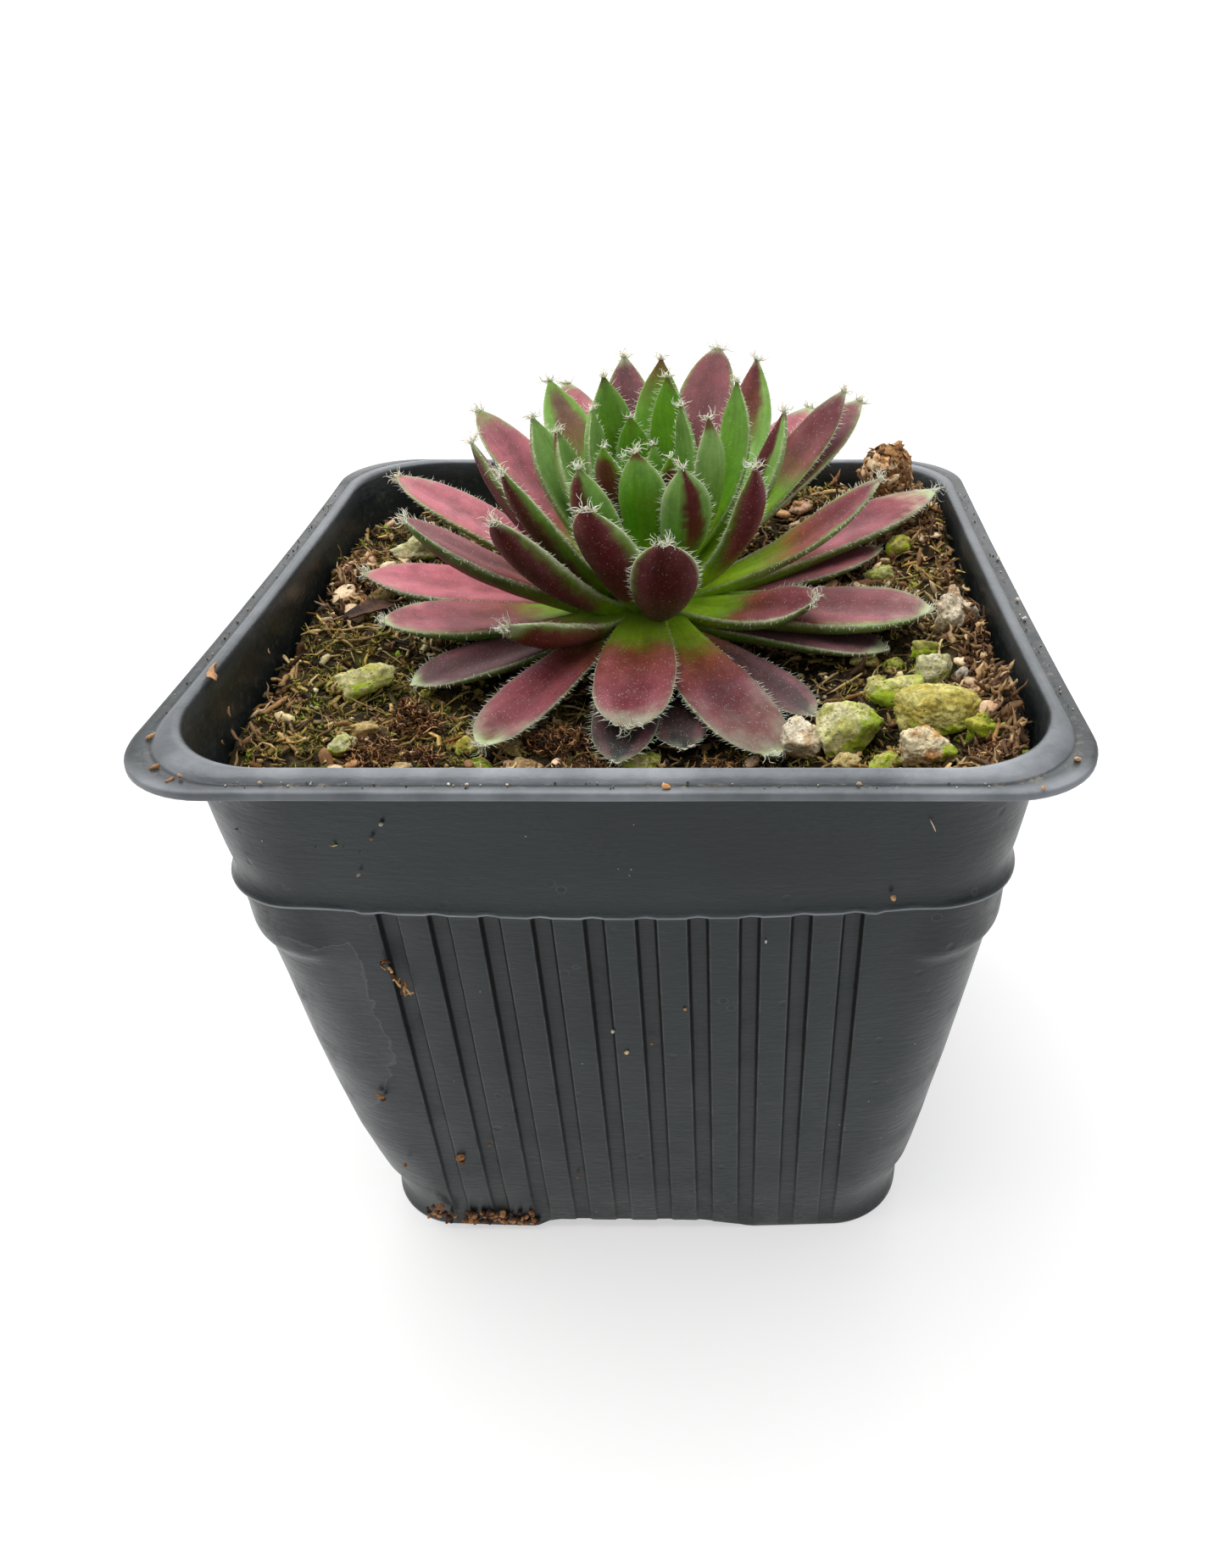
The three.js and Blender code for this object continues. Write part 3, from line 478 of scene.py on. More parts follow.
def plastic_material():
    g = Graph("pot_plastic")
    film = g.attr("film")
    dirt = g.attr("dirt")
    big = g.noise(26, 4, 0.55)
    mid = g.noise(160, 4, 0.6)
    fine = g.noise(1400, 3, 0.6)
    grain = g.noise(5200, 2, 0.5)
    peel = g.noise(1.0, 3, 0.6, g.stretch(g.place, 420, 420, 1900))
    base = g.blend(rgb("151C1E"), rgb("1D2527"), g.ramp(big, 0.35, 0.65))
    base = g.blend(base, rgb("211D28"), g.ramp(g.noise(48, 2, 0.5), 0.55, 0.75, 0.0, 0.45))
    # dust that settled as faint smears
    dust = g.math("MULTIPLY", g.ramp(mid, 0.50, 0.72), g.ramp(fine, 0.4, 0.65))
    base = g.blend(base, rgb("4A4F4E"), g.math("MULTIPLY", dust, 0.22))
    # tiny bright grains of dried lime, and dark drip spots with a pale outline
    cell = g.cells(620)
    pick = g.noise(210, 1, 0.5)
    grainy = g.math("MULTIPLY", g.ramp(cell, 0.030, 0.070, 1.0, 0.0), g.ramp(pick, 0.60, 0.66))
    base = g.blend(base, rgb("B9B5A8"), g.math("MULTIPLY", grainy, 0.65))
    drop = g.cells(330)
    chosen = g.ramp(g.noise(75, 1, 0.5), 0.58, 0.63)
    ring = g.math("MULTIPLY", g.ramp(drop, 0.13, 0.17), g.ramp(drop, 0.18, 0.22, 1.0, 0.0))
    base = g.blend(base, rgb("3E4344"), g.math("MULTIPLY", g.math("MULTIPLY", ring, chosen), 0.35))
    base = g.blend(base, rgb("0C0F10"), g.math("MULTIPLY", g.math("MULTIPLY", g.ramp(drop, 0.11, 0.15, 1.0, 0.0), chosen), 0.6))
    # the dried water film
    edge = g.math("ADD", film, g.ramp(g.noise(210, 3, 0.6), 0.3, 0.7, -0.10, 0.10))
    inside = g.ramp(edge, 0.50, 0.53)
    outline = g.math("MULTIPLY", g.ramp(edge, 0.485, 0.505), g.ramp(edge, 0.515, 0.54, 1.0, 0.0))
    blotch = g.ramp(g.noise(120, 3, 0.6), 0.35, 0.65, 0.25, 0.8)
    base = g.blend(base, rgb("34393B"), g.math("MULTIPLY", inside, blotch))
    base = g.blend(base, rgb("4A5052"), g.math("MULTIPLY", outline, 0.5))
    # painted highlights: a pale line along the rib edges and the collar ridge, and a painted reflection that pales the
    # rim and the collar ridge
    patchy = g.noise(300, 4, 0.65)
    base = g.blend(base, rgb("42494B"), g.math("MULTIPLY", g.attr("edge_highlight"), g.ramp(patchy, 0.38, 0.62, 0.15, 0.85)))
    reflection_paint = g.math("MULTIPLY", g.attr("painted_reflection"), g.ramp(g.noise(60, 4, 0.6), 0.30, 0.65, 0.55, 1.0))
    base = g.blend(base, g.blend(rgb("767B80"), rgb("969AA0"), g.ramp(mid, 0.30, 0.70)), reflection_paint)
    # soil dust in the groove of the rim and low on the wall
    soil = g.math("MULTIPLY", dirt, g.ramp(g.noise(900, 4, 0.7), 0.50, 0.66))
    base = g.blend(base, g.blend(rgb("A39C8C"), rgb("5B4632"), g.ramp(fine, 0.4, 0.6)), g.math("MULTIPLY", soil, 0.6))
    # painted shade: the colour of the flute walls is darkened almost to black
    base = g.times(base, g.ramp(g.attr("flute_shade"), 0.0, 0.9, 1.0, 0.05))
    rough = g.math("ADD", g.ramp(mid, 0.3, 0.7, 0.30, 0.42), g.math("MULTIPLY", dust, 0.2))
    rough = g.math("ADD", rough, g.math("MULTIPLY", soil, 0.3))
    rough = g.math("ADD", rough, g.math("MULTIPLY", inside, -0.05))
    rough = g.math("ADD", rough, g.math("MULTIPLY", g.attr("flute_shade"), 0.3))
    g.set(Base_Color=base, Roughness=rough, IOR=1.46, Specular_IOR_Level=0.36)
    h = g.math("ADD", g.math("MULTIPLY", mid, 0.8), g.math("MULTIPLY", grain, 0.10))
    h = g.math("ADD", h, g.math("MULTIPLY", fine, 0.14))
    h = g.math("ADD", h, g.math("MULTIPLY", peel, 0.45))
    pit = g.math("MULTIPLY", g.ramp(g.cells(260), 0.05, 0.16, 1.0, 0.0), g.ramp(g.noise(120, 1, 0.5), 0.52, 0.58))
    h = g.math("ADD", h, g.math("MULTIPLY", pit, -0.5))
    g.bump(h, 0.36, 0.00040)
    return g.mat


def mix_material():
    g = Graph("potting_mix")
    col = g.attr("Col", "Color")
    coarse = g.noise(700, 5, 0.7)
    fine = g.noise(2600, 5, 0.75)
    fibre = g.noise(1.0, 4, 0.7, g.stretch(g.place, 900, 2600, 1700))
    tone = g.math("ADD", g.ramp(coarse, 0.25, 0.75, 0.45, 1.35), g.ramp(fine, 0.3, 0.7, -0.35, 0.35))
    col = g.times(col, tone)
    col = g.blend(col, rgb("8A7544"), g.ramp(fibre, 0.62, 0.72, 0.0, 0.5))
    g.set(Base_Color=col, Roughness=0.95, Specular_IOR_Level=0.25)
    h = g.math("ADD", coarse, g.math("MULTIPLY", fine, 0.5))
    h = g.math("ADD", h, g.math("MULTIPLY", fibre, 0.4))
    g.bump(h, 0.9, 0.0006)
    return g.mat


def litter_material(name, rough=0.8, contrast=0.35):
    g = Graph(name)
    col = g.attr("Col", "Color")
    grain = g.noise(2400, 4, 0.65)
    strip = g.noise(1.0, 3, 0.6, g.stretch(g.place, 5200, 1500, 3300))
    tone = g.math("ADD", g.ramp(grain, 0.25, 0.75, 1 - contrast, 1 + contrast), g.ramp(strip, 0.3, 0.7, -0.14, 0.14))
    g.set(Base_Color=g.times(col, tone), Roughness=rough, Specular_IOR_Level=0.3)
    g.bump(g.math("ADD", grain, strip), 0.5, 0.00012)
    return g.mat


def stone_material():
    g = Graph("grit")
    col = g.attr("Col", "Color")
    grain = g.noise(2100, 5, 0.7)
    broad = g.noise(560, 5, 0.65)
    patch = g.noise(330, 3, 0.6)
    pits = g.cells(1500)
    # algae grow in ragged lime patches, thickest on the side given for each stone
    spread = g.math("ADD", g.attr("algae"), g.math("MULTIPLY", g.math("SUBTRACT", broad, 0.5), 1.3))
    green = g.ramp(spread, 0.33, 0.50)
    tone = g.math("ADD", g.ramp(grain, 0.30, 0.70, 0.66, 1.28), g.ramp(broad, 0.35, 0.65, -0.18, 0.14))
    lime = g.blend(rgb("B4CE24"), rgb("7C9C10"), g.ramp(grain, 0.42, 0.66))
    lime = g.blend(lime, rgb("D2D47C"), g.ramp(patch, 0.50, 0.62, 0.0, 0.75))
    col = g.blend(col, lime, g.math("MULTIPLY", green, 0.88))
    rust = g.math("MULTIPLY", g.ramp(g.noise(760, 3, 0.6), 0.60, 0.70), g.ramp(green, 0.0, 0.6, 1.0, 0.2))
    col = g.blend(col, rgb("B07444"), g.math("MULTIPLY", rust, 0.42))
    dark = g.math("MULTIPLY", g.ramp(pits, 0.05, 0.20, 1.0, 0.0), g.ramp(g.noise(1100, 2, 0.5), 0.48, 0.60))
    col = g.blend(col, rgb("4A432C"), g.math("MULTIPLY", dark, 0.75))
    col = g.times(col, tone)
    g.set(Base_Color=col, Roughness=0.88, Specular_IOR_Level=0.3)
    h = g.math("ADD", g.math("MULTIPLY", grain, 0.8), g.math("MULTIPLY", g.ramp(pits, 0.0, 0.25), 0.6))
    h = g.math("ADD", h, g.math("MULTIPLY", broad, 0.8))
    g.bump(h, 0.9, 0.0004)
    return g.mat


def floor_material():
    g = Graph("floor")
    n = g.noise(9, 3, 0.5)
    tint = g.blend(rgb("BEBEBE"), rgb("B6B6B6"), n)
    g.set(Base_Color=tint, Roughness=0.9, Specular_IOR_Level=0.1, Emission_Color=(1.0, 1.0, 1.0, 1.0), Emission_Strength=0.50)
    return g.mat


LEAF = leaf_material("leaf_skin")
HAIR = hair_material()
PLASTIC = plastic_material()
SOIL = mix_material()
LITTER = litter_material("litter")
MOSS = litter_material("moss", 0.75, 0.25)
STONE = stone_material()

# ---------------------------------------------------------------------------
# pot
# ---------------------------------------------------------------------------
BOW = curve([[-2, 0.5], [0, 0.5], [59.3, 1.3], [72.4, 0.35], [76.8, 0.0]])
OUTER_CORNER = [[0, 9.2], [1, 10.9], [3, 12.4], [6, 12.2], [10, 11.0], [18, 10.2], [30, 10.0], [56, 9.9], [59.0, 9.3], [59.6, 9.7],
                [61, 10.8], [66, 11.7], [72.4, 13.4], [76.8, 12.0]]
# how far out the stacking lug stands that wraps each corner below the collar
SHOULDER = [[50.3, 39.16], [50.8, 39.24], [51.2, 39.38], [51.6, 39.62], [52.0, 39.86], [52.5, 40.03], [53.1, 40.10], [54.6, 40.08],
            [56.4, 40.0], [59.0, 40.02]]
FLUTE_X = [0.15 + (i - 4.5) * 5.1 for i in range(10)]
FLUTE_CUT = [(-1.26, 0.0), (-1.15, 0.02), (-1.07, 0.10), (-1.00, 0.28), (-0.86, 0.66), (-0.79, 0.75), (-0.68, 0.79),
             (0.0, 0.80), (0.68, 0.79), (0.79, 0.75), (0.86, 0.66), (1.00, 0.28), (1.07, 0.10), (1.15, 0.02), (1.26, 0.0)]
FILM = np.array([(-38.5, 54.5), (-30.8, 53.5), (-27.6, 54.3), (-26.8, 50.1), (-26.4, 47.6), (-27.1, 42.4), (-26.5, 36.9),
                 (-26.7, 33.6), (-28.7, 29.0), (-31.9, 24.9), (-33.5, 26.0), (-38.5, 29.0)])


def corner_at(z):
    return np.interp(z, [r[0] for r in OUTER_CORNER], [r[1] for r in OUTER_CORNER])


def wall_half(z):
    return 34.4 + (39.9 - 34.4) * z / 58.1 - 0.19 * max(0.0, 1 - z / 30) - 0.42 * max(0.0, 1 - z / 9) ** 0.8


def collar_half(z):
    return float(np.interp(z, [59.4, 61, 63, 68, 72.4, 74.6], [40.28, 40.30, 40.62, 41.30, 42.02, 42.40]))


def inner_half(z):
    return np.interp(z, [0, 57.8, 60.0, 72, 76.3, 80], [33.3, 38.8, 39.5, 41.2, 41.6, 41.6])


def polygon_depth(p, poly):
    """Signed distance from points (n, 2) to a closed outline, positive inside."""
    a, b = poly, np.roll(poly, -1, 0)
    ab = b - a
    ap = p[:, None] - a[None]
    t = np.clip((ap * ab).sum(-1) / (ab * ab).sum(-1), 0, 1)
    d = np.linalg.norm(ap - t[..., None] * ab, axis=-1).min(1)
    up = (a[None, :, 1] > p[:, None, 1]) != (b[None, :, 1] > p[:, None, 1])
    xs = a[None, :, 0] + (p[:, None, 1] - a[None, :, 1]) * ab[None, :, 0] / np.where(ab[None, :, 1] == 0, 1e-9, ab[None, :, 1])
    inner = (up & (p[:, None, 0] < xs)).sum(1) % 2 == 1
    return np.where(inner, d, -d)


def pot():
    pos = np.array([c + off for c in FLUTE_X for off, _ in FLUTE_CUT])
    depth = np.array([d for _ in FLUTE_X for _, d in FLUTE_CUT])
    n_end = 17
    rows = []   # half, z, corner radius, bow, flute factor, kind

    def out(half, z, flute=0.0, kind=0):
        rows.append((half, z, corner_at(z), float(BOW(z)), flute, kind))

    out(33.30, 0.0)
    out(33.58, 0.06)
    out(33.72, 0.20)
    out(33.82, 0.5)
    fade = curve([[0, 0.0], [1.2, 0.10], [3, 0.26], [6, 0.38], [14, 0.50], [30, 0.68], [50, 1.0], [58, 1.0]])
    for z in (1.4, 2.4, 4.0, 6.5, 9, 12, 15, 18, 21, 24, 27, 30, 33, 36, 39, 42, 45, 48, 50.0, 50.3, 50.8, 51.2, 51.6, 52.0, 52.5, 53.1, 53.8):
        out(wall_half(z), z, float(fade(z)))
    for z, f in ((54.3, 1), (55.6, 1), (56.8, 1), (57.7, 1), (58.1, 0.97), (58.35, 0.78), (58.55, 0.40), (58.72, 0.08)):
        out(wall_half(z), z, f)
    for half, z in ((40.00, 58.86), (40.06, 58.98), (40.18, 59.06), (40.32, 59.12), (40.43, 59.21), (40.47, 59.34), (40.45, 59.50),
                    (40.37, 59.75)):
        out(half, z)
    for z in (60.1, 60.6, 61.2, 62.2, 63.5, 65.0, 66.5, 68.5, 70.5, 72.4):
        out(collar_half(z), z)
    for half, z in ((42.3, 74.2), (42.36, 74.75), (42.6, 74.98)):
        out(half, z)

    def rim(half, z):
        rows.append((half, z, max(7.0, 9.7 + 0.55 * (45 - half)), 0.0, 0.0, 1))
    for half, z in ((44.6, 75.0), (44.9, 75.08), (45.0, 75.3), (44.98, 75.75), (44.85, 75.95), (44.55, 76.02),
                    (43.95, 76.0), (43.72, 75.93), (43.58, 75.86), (43.46, 75.88), (43.36, 76.02), (43.24, 76.22),
                    (43.02, 76.42), (42.75, 76.56), (42.45, 76.66), (42.2, 76.7), (42.0, 76.66), (41.82, 76.54),
                    (41.68, 76.34), (41.6, 76.1)):
        rim(half, z)
    rows.append((41.5, 75.4, 11.2, 0.0, 0.0, 1))
    for z in (74.0, 72.0, 69.0, 66.0, 63.0, 60.4, 59.6, 58.4, 57.4, 45.0, 25.0, 5.2):
        rows.append((inner_half(z), z, corner_at(z) - 1.1, float(BOW(z)) * 0.9, 0.0, 2))
    rows.append((inner_half(4.0) - 1.0, 4.0, 9.6, 0.4, 0.0, 2))

    all_rows, films, dirts, flute_shades, painted_reflections, edge_glints = [], [], [], [], [], []
    for half, z, corner, bow, flute, kind in rows:
        flat = half - corner
        reach = flat + corner * PI / 4
        f = pos * (1 + 0.024 * (57 - min(z, 57)) / 57)
        a = np.concatenate([np.linspace(-reach, f[0], n_end + 1)[:-1], f, np.linspace(f[-1], reach, n_end + 1)[1:-1]])
        b = np.abs(a)
        th = np.maximum(b - flat, 0) / corner
        nx, ny = np.cos(th), np.sign(a) * np.sin(th)
        x = np.where(b <= flat, half, flat + corner * np.cos(th))
        y = np.where(b <= flat, a, np.sign(a) * (flat + corner * np.sin(th)))
        # faces swell a little in the middle
        k = bow * np.clip(1 - (np.minimum(b, flat) / max(flat, 1)) ** 2, 0, 1)
        d = np.zeros(len(a))
        d[n_end:n_end + len(f)] = depth * flute
        # stacking lug wrapping each corner
        lug = 0.0
        if kind == 0 and 50.3 < z < 58.9:
            lug = (np.interp(z, [r[0] for r in SHOULDER], [r[1] for r in SHOULDER]) - half) * smooth(28.8, 33.0, b)
        x, y = x + (k - d + lug) * nx, y + (k - d + lug) * ny
        # the flute walls are steep and stay in the dark
        g = np.zeros(len(a))
        g[n_end:n_end + len(f)] = np.tile([0, 0, .3, 1, 1, .9, .25, .10, .25, .9, 1, 1, .3, 0, 0], 10) * min(1.0, flute * 1.25)
        zz = np.full(len(x), z)
        if kind == 0 and 58.15 < z < 60.15:
            rib = 1 - np.exp(-((a[:, None] - np.array(FLUTE_X)[None]) / 1.15) ** 2).sum(1)
            zz = zz - 0.30 * rib * (b < 25.2) * float(smooth(58.15, 58.75, z) * (1 - smooth(59.5, 60.15, z)))
        ring, nrm = [], []
        for q in range(4):
            c, s = (1, 0, -1, 0)[q], (0, 1, 0, -1)[q]
            ring.append(np.stack([c * x - s * y, s * x + c * y, zz], 1))
            nrm.append(np.stack([c * nx - s * ny, s * nx + c * ny, np.zeros(len(x))], 1))
        ring, nrm = np.concatenate(ring), np.concatenate(nrm)
        # a thin moulded wall is never quite true
        wob = 0.10 * fbm(ring * 0.05, 2, 5) + 0.030 * fbm(ring * 0.22, 2, 9)
        if kind == 1:
            wob = wob * 0.5
        if kind == 0 and 58.75 < z < 60.3:
            ring[:, 2] += 0.08 * vnoise(ring * np.array([0.35, 0.35, 0.0]), 3)
        ring = ring + nrm * wob[:, None]
        # the left side of the rim is drawn in a little and the right side less; the left wall bulges
        pull = smooth(73.4, 75.2, z) if kind < 2 else smooth(60, 75, z)
        ring[:, 0] += pull * 0.75 * np.where(ring[:, 0] < -30, np.clip(1 - (ring[:, 1] / 43) ** 2, 0, 1), 0)
        ring[:, 0] -= pull * 0.40 * np.where(ring[:, 0] > 30, np.clip(1 - (ring[:, 1] / 43) ** 2, 0, 1), 0)
        bulge = smooth(4, 20, z) * (1 - smooth(34, 50, z))
        ring[:, 0] -= 0.40 * bulge * smooth(24, 35, -ring[:, 0])
        all_rows.append(ring)
        if kind == 0:
            depth_in = polygon_depth(ring[:, [0, 2]], FILM)
            films.append(np.where(ring[:, 1] < -24, np.clip(0.5 + depth_in * 0.12, 0, 1), 0))
        else:
            films.append(np.zeros(len(ring)))
        soil = {1: float(43.4 <= half <= 44.2 and z > 75.4) * 0.45 + 0.08, 0: float(z < 7) * 0.10, 2: 0.14}[kind]
        dirts.append(np.full(len(ring), soil))
        flute_shades.append(np.tile(g, 4))
        # painted reflection: the bead and the lip are paled, most at the front and the back, and so is a band on the
        # collar ridge
        front = smooth(-38.0, -42.5, ring[:, 1]) + 0.8 * smooth(36.0, 42.0, ring[:, 1])
        bead = float(kind == 1 and 41.7 < half < 43.42)
        lip = float(kind == 1 and half > 44.2)
        painted_reflections.append(bead * (0.56 + 0.44 * front) + lip * (0.06 + 0.6 * front + 0.3 * float(44.8 < half and z > 75.9) * front)
                     + float(kind == 1) * (1 - bead) * (1 - lip) * 0.12 + 0.85 * float(kind == 0 and 59.1 < z < 59.4))
        # painted highlight: a pale line on the fillets beside each flute and along the collar ridge
        edge_glint = np.zeros(len(a))
        edge_glint[n_end:n_end + len(f)] = np.tile([0, .8, .8, .2, 0, 0, 0, 0, 0, 0, 0, .2, .8, .8, 0], 10) * min(1.0, flute * 1.6)
        if kind == 0 and 58.85 <= z <= 59.6:
            edge_glint = np.maximum(edge_glint, 0.8)
        edge_glints.append(np.tile(edge_glint, 4))
    n_ring = len(all_rows[0])
    verts = np.concatenate(all_rows + [np.array([[0, 0, 0.0]]), np.array([[0, 0, 4.0]])])
    i = np.arange(n_ring)
    j = (i + 1) % n_ring
    quads = [np.stack([r * n_ring + i, r * n_ring + j, (r + 1) * n_ring + j, (r + 1) * n_ring + i], 1)
             for r in range(len(all_rows) - 1)]
    base, top = len(all_rows) * n_ring, len(all_rows) * n_ring + 1
    last = (len(all_rows) - 1) * n_ring
    tris = [np.stack([np.full(n_ring, base), j, i], 1), np.stack([np.full(n_ring, top), last + i, last + j], 1)]
    extra = {k: np.concatenate(v + [np.zeros(2)]) for k, v in
             (("film", films), ("dirt", dirts), ("flute_shade", flute_shades), ("painted_reflection", painted_reflections), ("edge_highlight", edge_glints))}
    o = piece("pot_body", verts, [np.concatenate(quads), np.concatenate(tris)], None, PLASTIC, ["pot"],
              extra=extra)
    # the arch between the feet and the drain holes
    cutters = []

    def cutter(kind, turn, x=0.0, y=0.0):
        if kind == "arch":
            prof = [(-15.0, -1.0), (-15.0, 0.0), (-14.4, 0.12), (-13.5, 0.62), (-12.5, 1.35), (-11.6, 1.95), (-10.6, 2.2), (5.0, 2.2),
                    (7.4, 1.98), (9.8, 1.5), (12.2, 0.85), (14.2, 0.22), (15.4, 0.0), (15.4, -1.0)]
            p = np.array(prof)
            v = np.concatenate([np.stack([p[:, 0], np.full(len(p), s * 60.0), p[:, 1]], 1) for s in (-1, 1)])
            c, s = math.cos(turn), math.sin(turn)
            v = np.stack([c * v[:, 0] - s * v[:, 1], s * v[:, 0] + c * v[:, 1], v[:, 2]], 1)
            m = len(p)
        else:
            m = 32
            a = np.arange(m) * 2 * PI / m
            v = np.concatenate([np.stack([x + 3.5 * np.cos(a), y + 3.5 * np.sin(a), np.full(m, z)], 1) for z in (-2.0, 6.5)])
        i = np.arange(m)
        j = (i + 1) % m
        me = bpy.data.meshes.new("cut")
        me.from_pydata([tuple(float(q) * MM for q in r) for r in v], [],
                       [tuple(int(q) for q in r) for r in np.stack([i, j, m + j, m + i], 1)]
                       + [tuple(range(m))[::-1], tuple(range(m, 2 * m))])
        me.update()
        import bmesh
        bm = bmesh.new()
        bm.from_mesh(me)
        bmesh.ops.recalc_face_normals(bm, faces=bm.faces)
        bm.to_mesh(me)
        bm.free()
        c = bpy.data.objects.new("cut", me)
        bpy.context.scene.collection.objects.link(c)
        cutters.append(c)
    cutter("arch", 0.0)
    cutter("arch", PI / 2)
    for x, y in ((0, 0), (17, 0), (-17, 0), (0, 17), (0, -17)):
        cutter("hole", 0.0, x, y)
    for c in cutters:
        m = o.modifiers.new("cut", "BOOLEAN")
        m.operation = "DIFFERENCE"
        m.object = c
        try:
            m.solver = "MANIFOLD"
        except TypeError:
            m.solver = "EXACT"
    dg = bpy.context.evaluated_depsgraph_get()
    cut = bpy.data.meshes.new_from_object(o.evaluated_get(dg), depsgraph=dg)
    o.modifiers.clear()
    if len(cut.polygons) > 1000:
        o.data = cut
    o.data.set_sharp_from_angle(angle=math.radians(48))
    for c in cutters:
        me = c.data
        bpy.data.objects.remove(c)
        bpy.data.meshes.remove(me)
    return o


# ---------------------------------------------------------------------------
# potting mix
# ---------------------------------------------------------------------------
def level(x, y):
    x, y = np.asarray(x, float), np.asarray(y, float)
    w = 1 / ((x[..., None] - LEVELS[:, 0]) ** 2 + (y[..., None] - LEVELS[:, 1]) ** 2 + 4) ** 1.6
    return ((w * LEVELS[:, 2]).sum(-1) / w.sum(-1) + 0.35 * np.sin(x * 0.61 + 1.3) * np.cos(y * 0.53 - 0.4)
            + 0.22 * np.sin(x * 1.13 + y * 0.87))


def ground(x, y):
    p = np.stack([x, y, np.zeros_like(x)], -1)
    return (level(x, y) - 0.25 + 0.45 * fbm(p * 0.33, 2, 41) + 0.40 * fbm(p * 0.95, 3, 43)
            + 0.16 * fbm(p * 2.6, 2, 47))


def inside(x, y, margin):
    """How far a point is inside the pot's inner wall at soil level, negative outside."""
    half, r = 40.9 - margin, 11.5 - margin * 0.5
    qx, qy = np.abs(x) - (half - r), np.abs(y) - (half - r)
    return r - (np.hypot(np.maximum(qx, 0), np.maximum(qy, 0)) + np.minimum(np.maximum(qx, qy), 0))


def patch(x, y, x0, y0, rx, ry):
    return np.exp(-(((x - x0) / rx) ** 2 + ((y - y0) / ry) ** 2))


def mossy(x, y):
    """Where moss and algae colour the mix: mostly the left and front left, patches on the right."""
    p = np.stack([x, y, np.zeros_like(x)], -1)
    m = 0.42 + 0.55 * fbm(p * 0.17, 3, 71)
    m = m + 0.45 * patch(x, y, -28, -12, 13, 20) + 0.25 * patch(x, y, 32, 6, 7, 9) + 0.2 * patch(x, y, 27, -12, 7, 6)
    m = m - 0.45 * patch(x, y, 1, 2, 17, 18) - 0.35 * patch(x, y, 38, -26, 5, 14) - 0.3 * patch(x, y, 34, 32, 9, 7)
    return np.clip(m, 0, 1)


def potting_mix():
    n = 152
    s = np.linspace(-1, 1, n)
    U, V = np.meshgrid(s, s, indexing="ij")
    half, r = 40.62, 11.6

    def square(u, v, half, r):
        x, y = u * half, v * half
        flat = half - r
        qx, qy = np.maximum(np.abs(x) - flat, 0), np.maximum(np.abs(y) - flat, 0)
        k = np.where((qx > 0) & (qy > 0), np.maximum(qx, qy) / np.maximum(np.hypot(qx, qy), 1e-9), 1.0)
        fx = np.where((qx > 0) & (qy > 0), np.sign(x) * (flat + qx * k), x)
        fy = np.where((qx > 0) & (qy > 0), np.sign(y) * (flat + qy * k), y)
        return fx, fy
    X, Y = square(U, V, half, r)
    Z = ground(X, Y)
    X = X + pull_in(X, Y)
    top = np.stack([X, Y, Z], -1).reshape(-1, 3)
    ids = np.arange(n * n).reshape(n, n)
    quads = [np.stack([ids[:-1, :-1], ids[1:, :-1], ids[1:, 1:], ids[:-1, 1:]], -1).reshape(-1, 4)]
    edge = np.concatenate([ids[:-1, 0], ids[-1, :-1], ids[:0:-1, -1], ids[0, :0:-1]])
    eu, ev = U.reshape(-1)[edge], V.reshape(-1)[edge]
    verts, prev, count = [top], edge, n * n
    m = len(edge)
    for z in (62.0, 59.6, 57.2, 30.0, 5.5, 4.45):
        h = inner_half(z) - (0.45 if z > 5 else 1.4)
        x, y = square(eu, ev, h, 11.2)
        bow = float(BOW(z)) * 0.8
        low = np.minimum(np.abs(x), np.abs(y)) / (h - 11.2)
        k = bow * np.clip(1 - low ** 2, 0, 1)
        x = np.where(np.abs(x) >= np.abs(y), x + np.sign(x) * k, x)
        y = np.where(np.abs(y) > np.abs(x), y + np.sign(y) * k, y)
        verts.append(np.stack([x + (pull_in(x, y) if z > 58 else 0), y, np.full(m, z)], 1))
        ring = count + np.arange(m)
        nxt = np.roll(np.arange(m), -1)
        quads.append(np.stack([prev, prev[nxt], ring[nxt], ring], 1)[:, ::-1])
        prev, count = ring, count + m
    verts.append(np.array([[0, 0, 4.45]]))
    nxt = np.roll(np.arange(m), -1)
    tris = np.stack([prev, prev[nxt], np.full(m, count)], 1)[:, ::-1]
    verts = np.concatenate(verts)
    x, y = verts[:, 0], verts[:, 1]
    p = np.stack([x, y, np.zeros(len(x))], -1)
    dark, brown, olive, tan = lin("1E160E"), lin("4A3824"), lin("625E2C"), lin("86704A")
    col = mix(dark, brown, smooth(-0.3, 0.5, fbm(p * 0.6, 3, 81)))
    col = mix(col, olive, mossy(x, y) * smooth(-0.2, 0.3, fbm(p * 0.8, 3, 83)) * 0.9)
    col = mix(col, tan, smooth(0.25, 0.6, fbm(p * 1.1, 3, 87)) * 0.45)
    col = mix(col, lin("140E08"), 0.65 * patch(x, y, 26, -17, 13, 14))
    return piece("potting_mix_bed", verts, [np.concatenate(quads), tris], col, SOIL, ["potting_mix"])


def pull_in(x, y):
    """The side walls stand a little inwards, and the mix follows them."""
    fade = np.clip(1 - (y / 43) ** 2, 0, 1)
    return fade * (0.62 * smooth(-33, -40, x) - 0.33 * smooth(33, 40, x))


